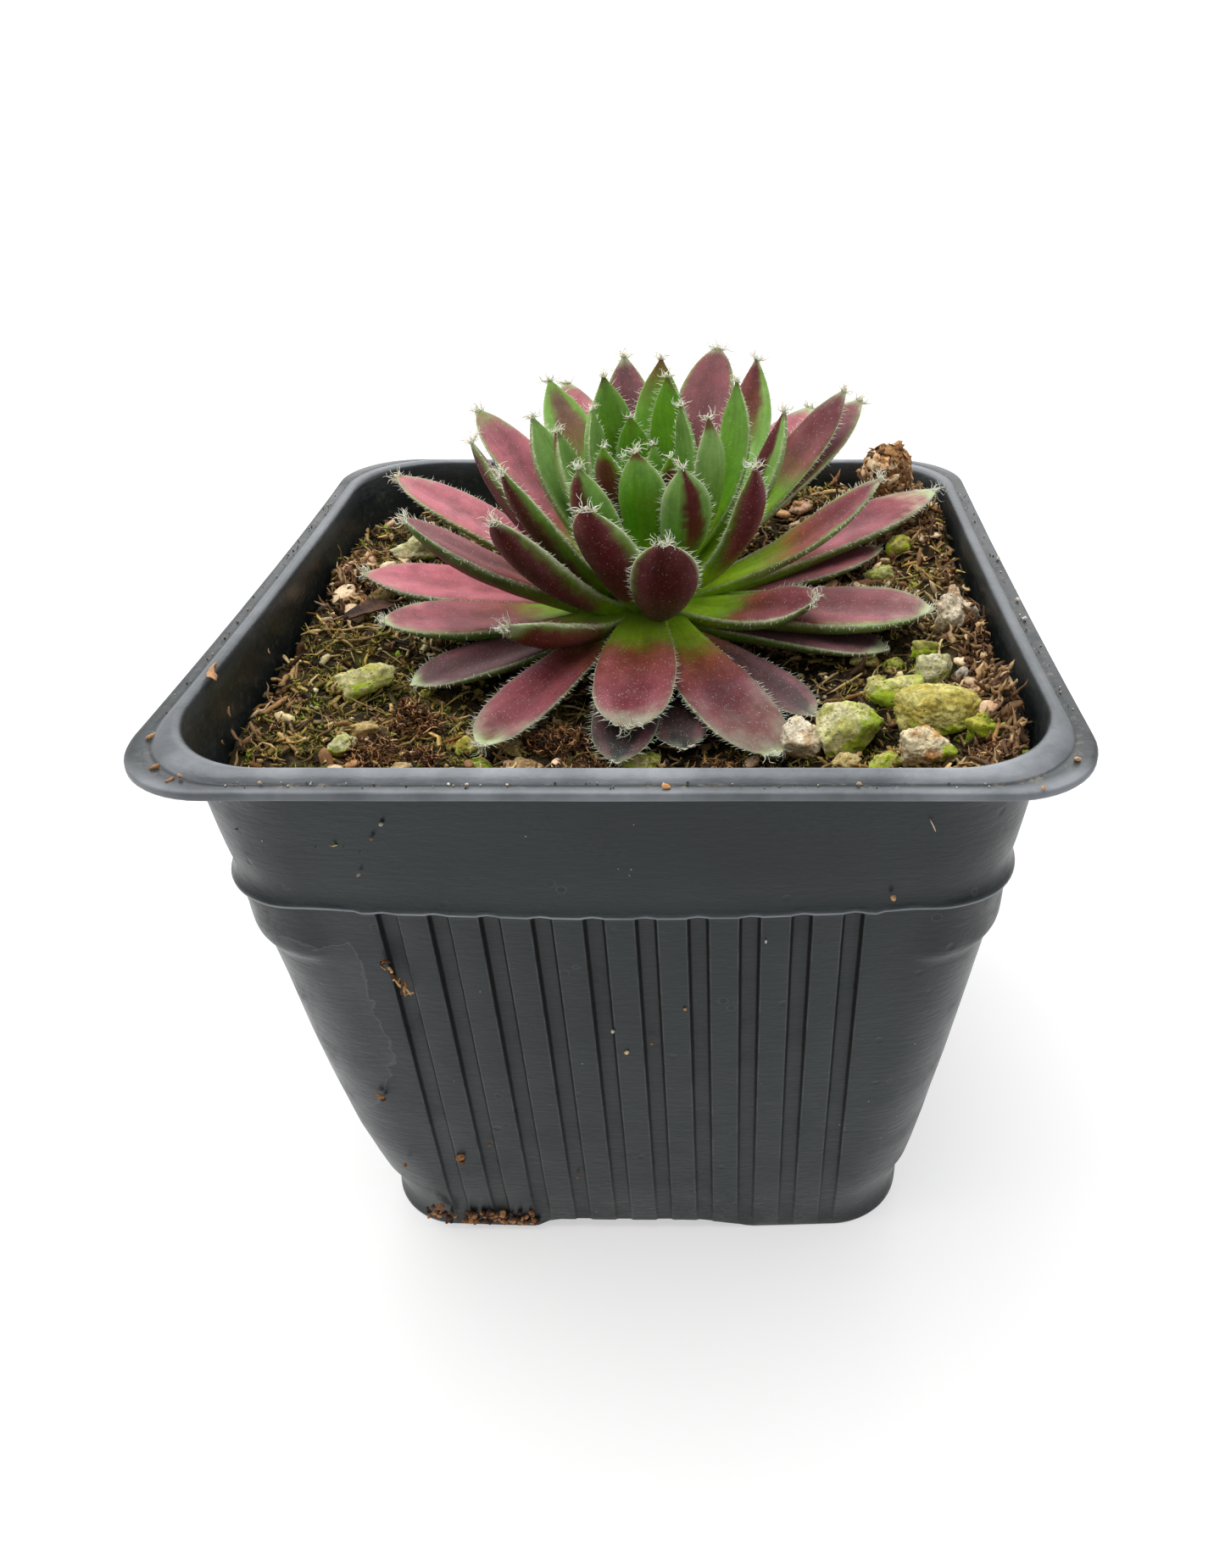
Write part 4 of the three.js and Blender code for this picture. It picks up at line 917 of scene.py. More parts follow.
# ---------------------------------------------------------------------------
# leaves
# ---------------------------------------------------------------------------
PAL = {k: lin(v) for k, v in dict(
    lime="96BE10", olive="7E8A18", green="5F9410", leaf="4C7E0E", deep="33600C", frost="86A85E", bloom="8E907A",
    pale="AEBA92", cream="DCD8B4", pink="AC5C67", rose="7E3E43", mauve="7C4A4D", wine="64222C", burg="581A1A",
    dark="38120F", brown="5A3218", rust="86460F", plum="4C3438", dull="563C3E", slate="3E3B3B", shade_black="141C17",
    grass="6E8E2A", blush="B4666F", clay="9A5A4A", milk="C0707E", ink="4A0C18").items()}
WIDTH = curve([[0, .5], [.12, .58], [.3, .74], [.5, .92], [.66, 1], [.78, .95], [.87, .78], [.94, .5], [.975, .26], [1, .06]])
WIDTH_SHARP = curve([[0, .5], [.12, .58], [.3, .74], [.5, .94], [.64, 1], [.75, .93], [.83, .76], [.89, .54], [.945, .27],
                     [.975, .12], [1, .04]])
WIDTH_BLUNT = curve([[0, .5], [.12, .58], [.3, .74], [.5, .90], [.68, 1], [.80, .97], [.88, .86], [.935, .67], [.97, .42],
                     [.99, .18], [1, .07]])
THICK = curve([[0, .95], [.15, 1], [.4, 1], [.65, .92], [.8, .72], [.92, .42], [.97, .22], [1, .06]])


def skin(top, under, **more):
    """How one leaf is coloured.  Each face is (green, second green, end of the lime foot, flush, second flush,
    middle of the flush across the leaf from -1 to 1, its half width, where it starts, where it ends, strength)."""
    look = dict(top=top, under=under, frost="frost", frost_from=.55, frost_amt=.4, edge="pale", edge_amt=.45, edge_from=.2,
                edge_w=.10, tip="brown", tip_from=.965, tip_amt=.6, warm=.6, sharp=.9, fuzz=.6, rim=.6, milk=1.0)
    look.update(more)
    return look


PLAIN = ("green", "leaf", .30, "burg", "wine", 0.0, 0.0, 2.0, 2.0, 0.0)
REDDISH = ("green", "grass", .34, "rose", "mauve", 0.0, 1.3, .36, 2.0, 1.0)


def core(under=PLAIN, top=PLAIN, **more):
    return skin(top, under, **dict(dict(frost_amt=.6, fuzz=.35, rim=.55, sharp=1.0), **more))


def spread(top=REDDISH, under=("grass", "leaf", .25, "burg", "dark", 0.0, .8, .30, 2.0, .9), **more):
    return skin(top, under, **dict(dict(frost="bloom", frost_from=.84, frost_amt=.46, edge="bloom", edge_amt=.7, edge_from=.45,
                                        edge_w=.15, tip="pale", tip_from=.955, tip_amt=.8, warm=.9, sharp=.6, fuzz=.8,
                                        rim=.75), **more))


LOOK = {
    "bud_1": core(("leaf", "green", .2, "brown", "dark", -.4, .7, .7, 1.0, .5), ("leaf", "green", .2, "brown", "dark", 0, .5, .86, 2, .45),
                  frost_amt=.1, frost_from=.8, tip="green", sharp=.8),
    "bud_2": core(("green", "leaf", .3, "brown", "burg", 0.05, .75, .30, .92, .95), frost_from=.85, frost_amt=.5, tip="green"),
    "bud_3": core(frost_amt=.5),
    "bud_4": core(frost_amt=.5, tip_amt=.2),
    "bud_5": core(("green", "leaf", .3, "brown", "burg", 0.1, .8, .35, .93, .95), frost_from=.88, tip="green"),
    "leaf_inner_01": core(("green", "leaf", .34, "grass", "olive", .2, .5, .3, .8, .35), frost_amt=.62, frost_from=.62, tip_amt=.95,
                          tip_from=.945),
    "leaf_inner_02": core(("green", "leaf", .34, "brown", "burg", 0.25, .5, .9, 2, .9), frost_amt=1.0, frost_from=.40, tip_from=.93,
                          tip_amt=.9),
    "leaf_inner_03": core(frost_amt=.75, frost_from=.4),
    "leaf_inner_04": core(("green", "green", .34, "grass", "olive", .1, .3, .3, .8, .3), frost_amt=.3, frost_from=.75),
    "leaf_inner_05": core(frost_amt=.8, frost_from=.4),
    "leaf_inner_06": core(("green", "leaf", .3, "leaf", "deep", 0, .6, .5, 2, .5), ("green", "leaf", .3, "leaf", "deep", 0, .6, .5, 2, .5),
                          frost_amt=.45, frost_from=.6),
    "leaf_inner_07": core(("green", "leaf", .3, "burg", "wine", -.34, .50, .40, .98, .92), frost_amt=.8, frost_from=.40),
    "leaf_inner_08": core(("green", "leaf", .30, "burg", "wine", .14, .40, .44, 1.1, .88), ("green", "leaf", .30, "burg", "wine", .14, .40, .44, 1.1, .88),
                          frost_amt=.9, frost_from=.34, edge="pale", edge_amt=.65, edge_w=.3, milk=.3),
    "leaf_inner_09": core(frost_amt=.45, frost_from=.42),
    "leaf_inner_10": core(("green", "leaf", .34, "wine", "burg", .5, .4, .82, 1.2, .9), frost_amt=.75, frost_from=.42),
    "leaf_inner_11": core(("green", "leaf", .3, "dark", "deep", 0, 1.2, .86, 2, .8), ("green", "leaf", .3, "dark", "deep", 0, 1.2, .84, 2, .85),
                          frost_amt=.15, tip="dark"),
    "leaf_middle_01": core(("green", "leaf", .3, "burg", "wine", .9, .25, .5, 1, .4), frost_amt=.9, frost_from=.34, tip_amt=.3),
    "leaf_middle_02": skin(PLAIN, ("green", "deep", .40, "wine", "burg", .30, 1.15, .44, 2.0, 1.0), frost_amt=.0, tip_from=.97,
                           tip_amt=.4, fuzz=.9, sharp=.75, rim=.9),
    "leaf_middle_03": core(("green", "leaf", .34, "wine", "burg", .62, .62, .48, 2, .95), ("green", "leaf", .34, "wine", "burg", .62, .62, .48, 2, .95),
                           frost_amt=.75, frost_from=.40, sharp=.9),
    "leaf_middle_04": skin(PLAIN, ("green", "frost", .36, "burg", "wine", -.30, 1.16, .24, 2.0, 1.0), frost_from=.4, frost_amt=.55,
                           tip_from=.97, sharp=.55, edge_amt=.7, fuzz=1.0, rim=.95),
    "leaf_middle_05": skin(PLAIN, ("green", "grass", .12, "burg", "dark", .14, 1.10, .12, 2.0, 1.0), frost_from=.5, frost_amt=.4,
                           tip_from=.975, sharp=.25, edge_amt=.7, fuzz=1.1, rim=1.0),
    "leaf_middle_06": skin(("green", "frost", .30, "wine", "burg", .25, .75, .66, 2.0, .85), ("green", "frost", .30, "wine", "burg", .25, .75, .66, 2.0, .85),
                           frost_amt=.1, tip="pale", fuzz=.7),
    "leaf_middle_07": skin(("grass", "olive", .24, "mauve", "rose", 0, 1.1, .34, 2, 1.0), ("grass", "olive", .3, "mauve", "wine", 0, 1, .4, 2, .9),
                           edge="frost", edge_amt=.8, edge_w=.22, frost_amt=.0, tip="pale", tip_amt=.8, tip_from=.95, sharp=.5),
    "leaf_middle_08": skin(("grass", "olive", .24, "mauve", "plum", 0, 1.1, .34, 2, 1.0), ("grass", "olive", .3, "mauve", "wine", 0, 1, .4, 2, .9),
                           edge="frost", edge_amt=.8, edge_w=.26, frost_amt=.0, tip="pale", tip_amt=.8, tip_from=.95),
    "leaf_middle_09": skin(("green", "frost", .34, "mauve", "plum", 0, .60, .54, .94, .70), ("green", "leaf", .34, "plum", "wine", 0, .8, .5, .97, .8),
                           edge="frost", edge_amt=.95, edge_w=.36, edge_from=.1, frost_amt=.35, frost_from=.3, tip="pale", tip_amt=.8),
    "leaf_middle_10": skin(("green", "frost", .3, "burg", "wine", -.9, .4, .4, 2, .5), ("green", "leaf", .34, "burg", "dark", -.30, .95, .28, 2.0, 1.0),
                           frost_amt=.35, frost_from=.5, tip_from=.97, sharp=.8, rim=1.0),
    "leaf_outer_01": skin(("green", "grass", .3, "burg", "wine", -.9, .4, .4, 2, .5), ("green", "grass", .30, "burg", "dark", -.25, 1.10, .22, 2.0, 1.0),
                          frost_amt=.25, edge_amt=.8, sharp=.6, rim=1.0, fuzz=.9, tip="pale"),
    "leaf_outer_02": spread(("grass", "frost", .4, "mauve", "rose", .2, .95, .4, .95, .95), ("grass", "leaf", .3, "burg", "dark", -.1, .9, .3, .97, 1.0),
                            edge="frost", edge_amt=.85, sharp=.85),
    "leaf_outer_03": spread(("green", "grass", .40, "wine", "mauve", .1, 1.2, .56, 2, 1.0), ("green", "grass", .45, "wine", "burg", .1, .95, .56, 2, .95),
                            edge_amt=.6, edge="frost", warm=.4, sharp=.75),
    "leaf_outer_04": spread(("olive", "grass", .30, "rose", "wine", -.15, 1.1, .46, 2, 1.0), ("grass", "frost", .3, "wine", "dark", 0, .8, .34, .9, .9),
                            edge="frost", edge_amt=.75, edge_w=.2, sharp=.8),
    "leaf_outer_05": spread(("grass", "frost", .2, "blush", "pink", 0, 1.2, .2, .98, 1.0), frost_amt=.55),
    "leaf_outer_06": spread(("grass", "frost", .2, "pink", "mauve", 0, 1.2, .2, .95, 1.0), frost_amt=.45, edge="frost", edge_w=.2),
    "leaf_outer_07": spread(("green", "grass", .30, "wine", "rose", 0, 1.2, .40, 2, 1.0), ("green", "grass", .4, "burg", "wine", .1, .75, .5, 2, 1.0),
                            edge="pale", edge_amt=.8, edge_w=.16, sharp=.55, rim=1.0, fuzz=1.1, frost_amt=.15),
    "leaf_outer_08": spread(("grass", "green", .36, "pink", "mauve", 0, 1.1, .36, .9, .75), ("green", "grass", .30, "burg", "rust", .25, .72, .22, .92, 1.0),
                            edge="frost", edge_amt=.85, edge_w=.2, sharp=.6, rim=1.0, tip="pale", tip_from=.92, frost="frost",
                            frost_from=.74, frost_amt=.65),
    "leaf_outer_09": spread(("grass", "frost", .35, "mauve", "rose", 0, 1.1, .4, 2, .9), edge="frost", edge_amt=.8, edge_w=.3),
    # outer_10: its own pink, lightened with blush as painted sheen from the back light
    "leaf_outer_10": spread(("grass", "frost", .2, "blush", "blush", 0, 1.3, .2, .97, 1.0), tip="pale", tip_from=.93, tip_amt=.8),
    "leaf_outer_11": spread(("grass", "olive", .3, "rose", "mauve", 0, 1.2, .3, 2, 1.0), ("deep", "grass", .3, "brown", "dark", 0, .8, .3, .9, .8),
                            edge_amt=.6, frost="frost", frost_from=.9),
    "leaf_outer_12": spread(("green", "olive", .30, "rose", "wine", 0, 1.3, .40, 2, 1.0), edge="bloom", edge_amt=.75, edge_w=.14, edge_from=.5,
                            tip="bloom", tip_from=.93, tip_amt=.7, sharp=.15, fuzz=1.2, warm=1.0),
    # spread_01 and spread_02: their own pink, lightened with blush as painted sheen from the back light
    "leaf_spread_01": spread(("grass", "frost", .14, "blush", "pink", 0, 1.3, .14, .985, 1.0), edge="frost", edge_amt=.7),
    "leaf_spread_02": spread(("grass", "frost", .14, "pink", "blush", 0, 1.3, .14, .985, 1.0), edge="bloom", edge_amt=.6, sharp=.8),
    "leaf_spread_03": spread(("olive", "grass", .30, "rose", "pink", .05, 1.3, .34, .985, 1.0), ("leaf", "grass", .4, "brown", "burg", -.1, .5, .4, .9, .5),
                             edge="frost", edge_amt=.7, edge_w=.2, sharp=.45),
    "leaf_spread_04": spread(("grass", "frost", .2, "rose", "pink", 0, 1.3, .2, .98, 1.0), edge="bloom", edge_amt=.8, edge_w=.2, frost="pale",
                             frost_from=.80, frost_amt=.75, sharp=.6),
    "leaf_spread_05": spread(("grass", "frost", .26, "rose", "mauve", 0, 1.3, .30, .985, 1.0), edge="frost", edge_amt=.75, edge_w=.24,
                             sharp=.6, fuzz=1.0, frost_from=.80, frost_amt=.5),
    "leaf_spread_06": spread(("green", "olive", .22, "rose", "wine", 0, 1.3, .24, .97, 1.0), edge="bloom", edge_amt=.6, sharp=.1, fuzz=.9,
                             frost_from=.78, frost_amt=.6),
    "leaf_spread_07": spread(("green", "olive", .24, "wine", "plum", 0, 1.3, .30, .97, 1.0), edge="bloom", edge_amt=.5, sharp=.05, fuzz=1.0,
                             frost_from=.62, frost_amt=.62, warm=1.0),
    "leaf_back_01": spread(),
    "leaf_back_02": spread(),
    "leaf_back_03": spread(),
    "leaf_lower_01": spread(("grass", "olive", .1, "dull", "plum", 0, 1.3, .1, .98, 1.0), edge="bloom", edge_amt=.6, sharp=.3),
    "leaf_lower_02": spread(("grass", "olive", .1, "dull", "slate", 0, 1.3, .1, 2, 1.0), edge_amt=.35, sharp=.2, frost_amt=.15, tip_amt=.3),
    # painted shade: lower_03 and lower_04 sit in shade under the leaves above, and their near-black flush stands for it
    "leaf_lower_03": spread(("deep", "olive", .1, "shade_black", "slate", 0, 1.3, .1, 2, 1.0), edge_amt=.2, sharp=.3, frost_amt=.05, tip_amt=.2, rim=.5),
    "leaf_lower_04": spread(("deep", "olive", .1, "shade_black", "slate", 0, 1.3, .1, 2, 1.0), ("deep", "olive", .1, "shade_black", "shade_black", 0, 1.3, .1, 2, 1.0),
                            edge_amt=.15, tip_amt=.2, sharp=.2, frost_amt=.1),
    "leaf_lower_05": spread(("grass", "olive", .1, "dull", "plum", 0, 1.3, .1, 2, 1.0), edge_amt=.45, sharp=.3, frost_amt=.2),
    "leaf_lower_06": spread(("grass", "olive", .1, "mauve", "rose", 0, 1.3, .1, 2, 1.0), edge_amt=.5, frost_amt=.3),
}


def leaf_frame(leaf, t):
    r, z, azimuth, length, elevation, bend, width, twist, bow = leaf
    a, b, rise = math.radians(azimuth), math.radians(bend), math.radians(elevation)
    out = np.array([math.cos(a), math.sin(a), 0.0])
    side = np.array([-math.sin(a), math.cos(a), 0.0])
    up = np.array([0.0, 0.0, 1.0])
    start = rise - b / 2
    here = start + b * t
    if abs(b) < 1e-3:
        run, lift = length * t * math.cos(rise), length * t * math.sin(rise)
    else:
        arc = length * (b / 2) / math.sin(b / 2)
        run, lift = arc / b * (np.sin(here) - math.sin(start)), arc / b * (math.cos(start) - np.cos(here))
    base = np.array([AXIS[0], AXIS[1], z]) + r * out
    e = lambda q: np.asarray(q)[..., None]
    centre = base + e(run) * out + e(lift) * up + e(bow * 0.4 * t * (1 - t) * length) * side
    tangent = e(np.cos(here)) * out + e(np.sin(here)) * up
    normal = -e(np.sin(here)) * out + e(np.cos(here)) * up
    roll = np.radians(twist) * t
    n = normal * e(np.cos(roll)) + side * e(np.sin(roll))
    s = side * e(np.cos(roll)) - normal * e(np.sin(roll))
    return centre, tangent, n, s


def leaf_points(leaf, look, t, angle, seed):
    """Skin of a leaf at stations t and section angles, both arrays of one shape."""
    width = leaf[6]
    centre, tangent, n, s = leaf_frame(leaf, t)
    c, d = np.cos(angle), np.sin(angle)
    k = look["sharp"]
    w = WIDTH(t) * (1 - abs(k - .5) * 2) + (WIDTH_SHARP(t) if k > .5 else WIDTH_BLUNT(t)) * abs(k - .5) * 2
    ph = seed * 1.7
    w = w * (1 + 0.016 * np.sin(t * 11 + ph) * (c > 0) + 0.016 * np.sin(t * 9 + 2 * ph) * (c <= 0))
    half = w * width / 2
    thick = THICK(t) * width * 0.34
    y = np.where(d > 0, 0.30 * thick * d, 0.70 * thick * d) + 0.225 * c * c * thick
    # a shallow channel along the upper side, a keel under the tip
    y = y - np.where(d > 0, 0.12 * thick * np.exp(-(c / 0.42) ** 2) * smooth(0.1, 0.5, t) * smooth(1.0, 0.8, t), 0)
    y = y - np.where(d < 0, 0.14 * thick * np.exp(-(c / 0.30) ** 2) * smooth(0.45, 0.85, t), 0)
    p = centre + s * (half * c)[..., None] + n * y[..., None]
    wave = 0.13 * fbm(p * 0.16 + seed, 2, seed) + 0.05 * fbm(p * 0.55, 2, seed + 3)
    wave = wave * smooth(1.0, 0.85, t)
    return p + n * (wave * 0.8)[..., None] + s * (wave * c * 0.5)[..., None]


def leaf_colour(look, t, c, d, p, seed):
    slow, quick = fbm(p * 0.20 + 9, 2, seed + 31), fbm(p * 0.75, 3, seed + 37)
    grit = vnoise(p * 2.4, seed + 41)
    upper = smooth(-0.10, 0.14, d)
    tt = t + 0.045 * slow + 0.02 * quick
    edge = np.abs(c)

    def face(green, second, lime_end, flush, flush2, middle, half, start, end, amount):
        base = mix(PAL[green], PAL[second], np.clip(0.45 + 0.7 * slow + 0.5 * quick, 0, 1) * 0.7)
        # frosty towards the tip and the margins
        near = np.clip(tt + 0.16 * edge ** 2 - 0.06, 0, 1.2)
        base = mix(base, PAL[look["frost"]], smooth(look["frost_from"], look["frost_from"] + 0.42, near) * look["frost_amt"] * 0.85)
        foot = mix(PAL["lime"], PAL["olive"], np.clip(0.25 + quick, 0, 1) * 0.4)
        lime_here = lime_end - 0.04 * edge
        base = mix(foot, base, smooth(lime_here - 0.10, lime_here + 0.22, tt))
        # the red flush, rusty where it fades into the green
        off = np.abs(c - middle - 0.12 * slow) + 0.22 * quick + 0.05 * grit
        band = 1 - smooth(0.62 * half, 1.30 * half + 0.10, off)
        along = smooth(start - 0.12, start + 0.20, tt + 0.03 * quick + 0.02 * grit) * (1 - smooth(end - 0.08, end + 0.06, tt))
        m = np.clip(band * along, 0, 1) * amount
        red = mix(PAL[flush], PAL[flush2], np.clip(0.45 + 0.9 * slow + 0.4 * quick, 0, 1) * 0.8)
        if flush not in ("grass", "leaf", "shade_black"):
            foot_side = 1 - smooth(start + 0.02, start + 0.34, tt)
            red = mix(red, PAL["rust"], foot_side * look["warm"] * 0.8)
        out = mix(base, red, smooth(0.05, 0.90, m))
        # painted shade darkens the flush along the midrib channel, and it is deepest in broken blotches; between midrib
        # and margin it is milky, partly pale bloom and partly painted light
        deep = m * (1 - smooth(0.05, 0.46, np.abs(c + 0.10 * slow))) * smooth(0.98, 0.7, t)
        blot = m * smooth(0.02, 0.42, fbm(p * np.array([0.55, 0.55, 0.75]) + 31, 3, seed + 53))
        out = mix(out, PAL["ink"], np.clip(0.30 * deep + 0.22 * blot, 0, 1) * look["milk"])
        out = mix(out, PAL["milk"], m * smooth(0.34, 0.62, edge + 0.10 * quick) * (1 - smooth(0.86, 1.0, edge)) * 0.20 * look["milk"]
                  * np.clip(0.6 + 1.2 * slow, 0, 1.2))
        # bloom that lies over the flush near the tip
        if look["frost"] in ("bloom", "pale"):
            veil = smooth(look["frost_from"], 1.0, near + 0.05 * quick + 0.03 * grit) * look["frost_amt"]
            out = mix(out, PAL[look["frost"]], np.clip(veil * (0.8 + 0.5 * quick), 0, 1))
        return out
    a = face(*look["top"])
    b = face(*look["under"])
    col = mix(b, a, upper)
    rim = smooth(1 - look["edge_w"] * 0.8, 1.0, edge + 0.06 * quick) * smooth(look["edge_from"], look["edge_from"] + 0.35, tt)
    rim = rim * np.clip(0.75 + 0.7 * slow, 0.2, 1)
    col = mix(col, PAL[look["edge"]], rim * look["edge_amt"])
    tip = smooth(look["tip_from"], min(look["tip_from"] + 0.05, 1.0), tt + 0.02 * edge)
    col = mix(col, PAL[look["tip"]], tip * look["tip_amt"])
    # dusty grain
    return col * (1 + 0.07 * grit[..., None] + 0.05 * quick[..., None])


def leaf_skin(leaf, look, seed, nt=42, na=28):
    q = np.linspace(0, 1, nt)
    t = 1 - (1 - q) ** 1.3
    t = 0.01 + t * 0.985
    a = np.arange(na) * 2 * PI / na
    T, A = np.meshgrid(t, a, indexing="ij")
    P = leaf_points(leaf, look, T, A, seed)
    c, d = np.cos(A), np.sin(A)
    C = leaf_colour(look, T, c, d, P, seed)
    foot, _, _, _ = leaf_frame(leaf, np.array([0.0]))
    tip, tan, nrm, _ = leaf_frame(leaf, np.array([1.0]))
    tip = tip + tan * 0.30 + nrm * 0.12
    verts = np.concatenate([P.reshape(-1, 3), foot, tip])
    cols = np.concatenate([C.reshape(-1, 3), PAL["lime"][None], mix(PAL["cream"], PAL["pale"], np.array([0.3]))])
    ids = np.arange(nt * na).reshape(nt, na)
    nx = np.roll(ids, -1, 1)
    quads = np.stack([ids[:-1], nx[:-1], nx[1:], ids[1:]], -1).reshape(-1, 4)
    tris = np.concatenate([np.stack([ids[0], np.full(na, nt * na), nx[0]], 1),
                           np.stack([nx[-1], np.full(na, nt * na + 1), ids[-1]], 1)])
    half = leaf[6] / 2
    vein = np.stack([half * c + 40.0 * seed, T * leaf[3], np.sign(d) * 3.0], -1).reshape(-1, 3)
    vein = np.concatenate([vein, vein[:1], vein[-1:]])
    tipness = smooth(0.93, 1.0, T)
    edge = np.concatenate([np.maximum(np.abs(c), tipness).reshape(-1), [0, 1]])
    flat = lambda v: np.full(len(verts), float(v))
    if volume(verts - verts.mean(0), [quads, tris]) < 0:
        quads, tris = quads[:, ::-1], tris[:, ::-1]
    return verts, quads, tris, cols, {"leaf": vein, "edge": edge, "fuzz": flat(look["fuzz"]), "rim": flat(look["rim"])}


def leaves():
    for k, (name, *leaf) in enumerate(LEAVES):
        v, q, t, c, extra = leaf_skin(leaf, LOOK[name], k + 10)
        piece(name + "_skin", v, [q, t], c, LEAF, [name], extra)
    parts = [leaf_skin(leaf, LOOK[f"bud_{k + 1}"], k + 1, 34, 20) for k, leaf in enumerate(BUD)]
    # the growing point closes the middle
    bv, bf = BALLS[3]
    core = bv * np.array([2.0, 2.0, 2.5]) + np.array([1.0, 8.0, 78.6])
    cc = mix(PAL["deep"], PAL["green"], np.clip(0.5 + fbm(core * 0.8, 2, 6), 0, 1))
    n = len(core)
    parts.append((core, np.zeros((0, 4), int), bf, cc,
                  {"leaf": core.copy(), "edge": np.zeros(n), "fuzz": np.full(n, .3), "rim": np.zeros(n)}))
    verts, quads, tris, cols, off = [], [], [], [], 0
    extra = {k: [] for k in ("leaf", "edge", "fuzz", "rim")}
    for v, q, t, c, e in parts:
        verts.append(v)
        quads.append(q + off)
        tris.append(t + off)
        cols.append(c)
        for k in extra:
            extra[k].append(e[k])
        off += len(v)
    piece("center_bud_skin", np.concatenate(verts), [np.concatenate(quads), np.concatenate(tris)], np.concatenate(cols), LEAF,
          ["center_bud"], {k: np.concatenate(x) for k, x in extra.items()}, outward=False)


def stem():
    prof = curve([[0, 6.2], [.1, 6.5], [.4, 6.5], [.6, 5.9], [.75, 4.6], [.89, 3.0], [.97, 1.5], [1, .5]])
    nz, na = 40, 40
    u = np.linspace(0, 1, nz)
    z = 58 + 18.3 * u
    a = np.arange(na) * 2 * PI / na
    r = prof(u)[:, None] * (1 + 0.05 * np.sin(a * 5 + u[:, None] * 9) * smooth(0.0, 0.3, u)[:, None])
    P = np.stack([AXIS[0] + r * np.cos(a), AXIS[1] + r * np.sin(a), np.broadcast_to(z[:, None], r.shape)], -1)
    v = np.concatenate([P.reshape(-1, 3), [[AXIS[0], AXIS[1], 58.0]], [[AXIS[0], AXIS[1], 76.4]]])
    ids = np.arange(nz * na).reshape(nz, na)
    nx = np.roll(ids, -1, 1)
    quads = np.stack([ids[:-1], nx[:-1], nx[1:], ids[1:]], -1).reshape(-1, 4)
    tris = np.concatenate([np.stack([nx[0], ids[0], np.full(na, nz * na)], 1),
                           np.stack([ids[-1], nx[-1], np.full(na, nz * na + 1)], 1)])
    col = mix(PAL["brown"], PAL["lime"], smooth(63, 69, v[:, 2] + fbm(v * 0.5, 2, 3)))
    n = len(v)
    return piece("rosette_stem_skin", v, [quads, tris], col, LEAF, ["rosette_stem"],
                 {"leaf": v.copy(), "edge": np.zeros(n), "fuzz": np.full(n, .2), "rim": np.zeros(n)})


